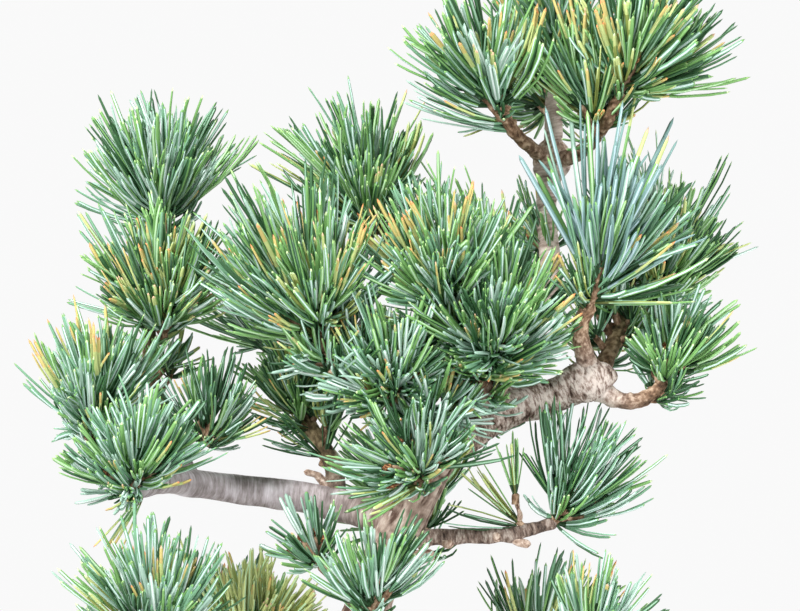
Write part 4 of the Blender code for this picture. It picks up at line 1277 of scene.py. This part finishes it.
def loose_grains(width, depth):
    """The coarse grains strewn on the soil."""
    dice = np.random.default_rng(GRAIN_SEED)
    grains = Heap()
    for _ in range(GRAIN_COUNT):
        x = dice.uniform(*GRAIN_SPREAD) * width
        y = dice.uniform(*GRAIN_SPREAD) * depth
        size = dice.uniform(*GRAIN_SIZE)
        verts, quads, tris = rough_stone(dice)
        turn = dice.uniform(0, FULL_TURN)
        tall = dice.uniform(*GRAIN_TALL)
        across, along = math.cos(turn), math.sin(turn)
        spin = np.array([[across, -along, 0], [along, across, 0], [0, 0, 1]])
        verts = (verts * [size, size * dice.uniform(*GRAIN_NARROW), size * tall]) @ spin.T
        z = float(soil_height(x, y, width, depth))
        colour = dice.choice(len(GRAIN_COLOURS), p=GRAIN_SHARES)
        grains.add(verts + [x, y, z + dice.uniform(*GRAIN_LIFT)], quads, tris, colour, colour)
    return grains


def build_soil():
    width, depth = size_of("soil")
    looks = [grain_material(index, colour) for index, colour in enumerate(GRAIN_COLOURS)]
    place(soil_bed(width, depth).build("soil_bed", [looks[BED_COLOUR]]), "earth", "soil")
    place(loose_grains(width, depth).build("soil_grains", looks, smooth=False), "earth")


# ---------------------------------------------------------------- studio

FLOOR_RADIUS, FLOOR_POINTS = 1.1, 96
FLOOR_COLOUR = (238, 238, 238)
BACKDROP_LIGHT, BACKDROP_DIM = 0.95, 0.5  # near the horizon, and toward the zenith and the ground
BACKDROP_FADE = (0.14, 0.6)  # sines of the elevations between which it fades
CROWN = (0.0, 0.0, 0.26)
# Soft lights, all aimed at the crown, as (name, place, size, power)
LIGHTS = [
    ("key", (-0.5, -0.7, 1.0), 0.4, 24.0),
    ("fill", (0.8, -0.6, 0.45), 0.7, 7.0),
    ("back", (0.3, 0.9, 0.8), 0.6, 8.0),
]
CAMERA_PLACE = (0.0, -0.9, 0.267)
VIEW_HALF_WIDTH = 0.13333  # what the picture's half width covers at the trunk
SENSOR_WIDTH = 36.0
CLIP_START, CLIP_END = 0.05, 20.0


def build_floor():
    mesh = bpy.data.meshes.new("floor")
    angles = [FULL_TURN * number / FLOOR_POINTS for number in range(FLOOR_POINTS)]
    ring = [(FLOOR_RADIUS * math.cos(angle), FLOOR_RADIUS * math.sin(angle), 0) for angle in angles]
    mesh.from_pydata(ring, [], [list(range(FLOOR_POINTS))])
    made, _, shader = new_material("pale_floor", roughness=0.7, specular=0.2)
    shader.inputs["Base Color"].default_value = linear(*FLOOR_COLOUR)
    link_mesh("floor", mesh, [made])


def build_backdrop(scene):
    """A white sky, brightest at the horizon behind the plant."""
    world = bpy.data.worlds.new("studio")
    world.use_nodes = True
    tree = world.node_tree
    backdrop = tree.nodes["Background"]
    backdrop.inputs["Color"].default_value = (1.0, 1.0, 1.0, 1.0)
    direction = add_node(tree, "TexCoord", {}, "Generated")
    slope = maths(tree, "ABSOLUTE", add_node(tree, "SeparateXYZ", {"Vector": direction}, "Z"))
    fade = {"Value": slope, "To Min": BACKDROP_LIGHT, "To Max": BACKDROP_DIM}
    fade["From Min"], fade["From Max"] = BACKDROP_FADE
    tree.links.new(add_node(tree, "MapRange", fade, "Result"), backdrop.inputs["Strength"])
    scene.world = world
    scene.view_settings.view_transform = "Standard"


def build_lights(scene):
    for name, spot, size, power in LIGHTS:
        light = bpy.data.lights.new(name, "AREA")
        light.size = size
        light.energy = power
        made = bpy.data.objects.new(name, light)
        made.location = spot
        made.rotation_euler = (Vector(CROWN) - Vector(spot)).to_track_quat("-Z", "Y").to_euler()
        scene.collection.objects.link(made)


def build_camera(scene):
    camera = bpy.data.cameras.new("camera")
    camera.sensor_width = SENSOR_WIDTH
    camera.lens = SENSOR_WIDTH / 2 * -CAMERA_PLACE[1] / VIEW_HALF_WIDTH
    camera.clip_start = CLIP_START
    camera.clip_end = CLIP_END
    eye = bpy.data.objects.new("camera", camera)
    eye.location = CAMERA_PLACE
    eye.rotation_euler = (math.pi / 2, 0.0, 0.0)
    scene.collection.objects.link(eye)
    scene.camera = eye


build_floor()
build_backdrop(bpy.context.scene)
build_lights(bpy.context.scene)
build_camera(bpy.context.scene)
build_pot()
build_soil()
build_limbs()
build_stubs()
build_foliage()
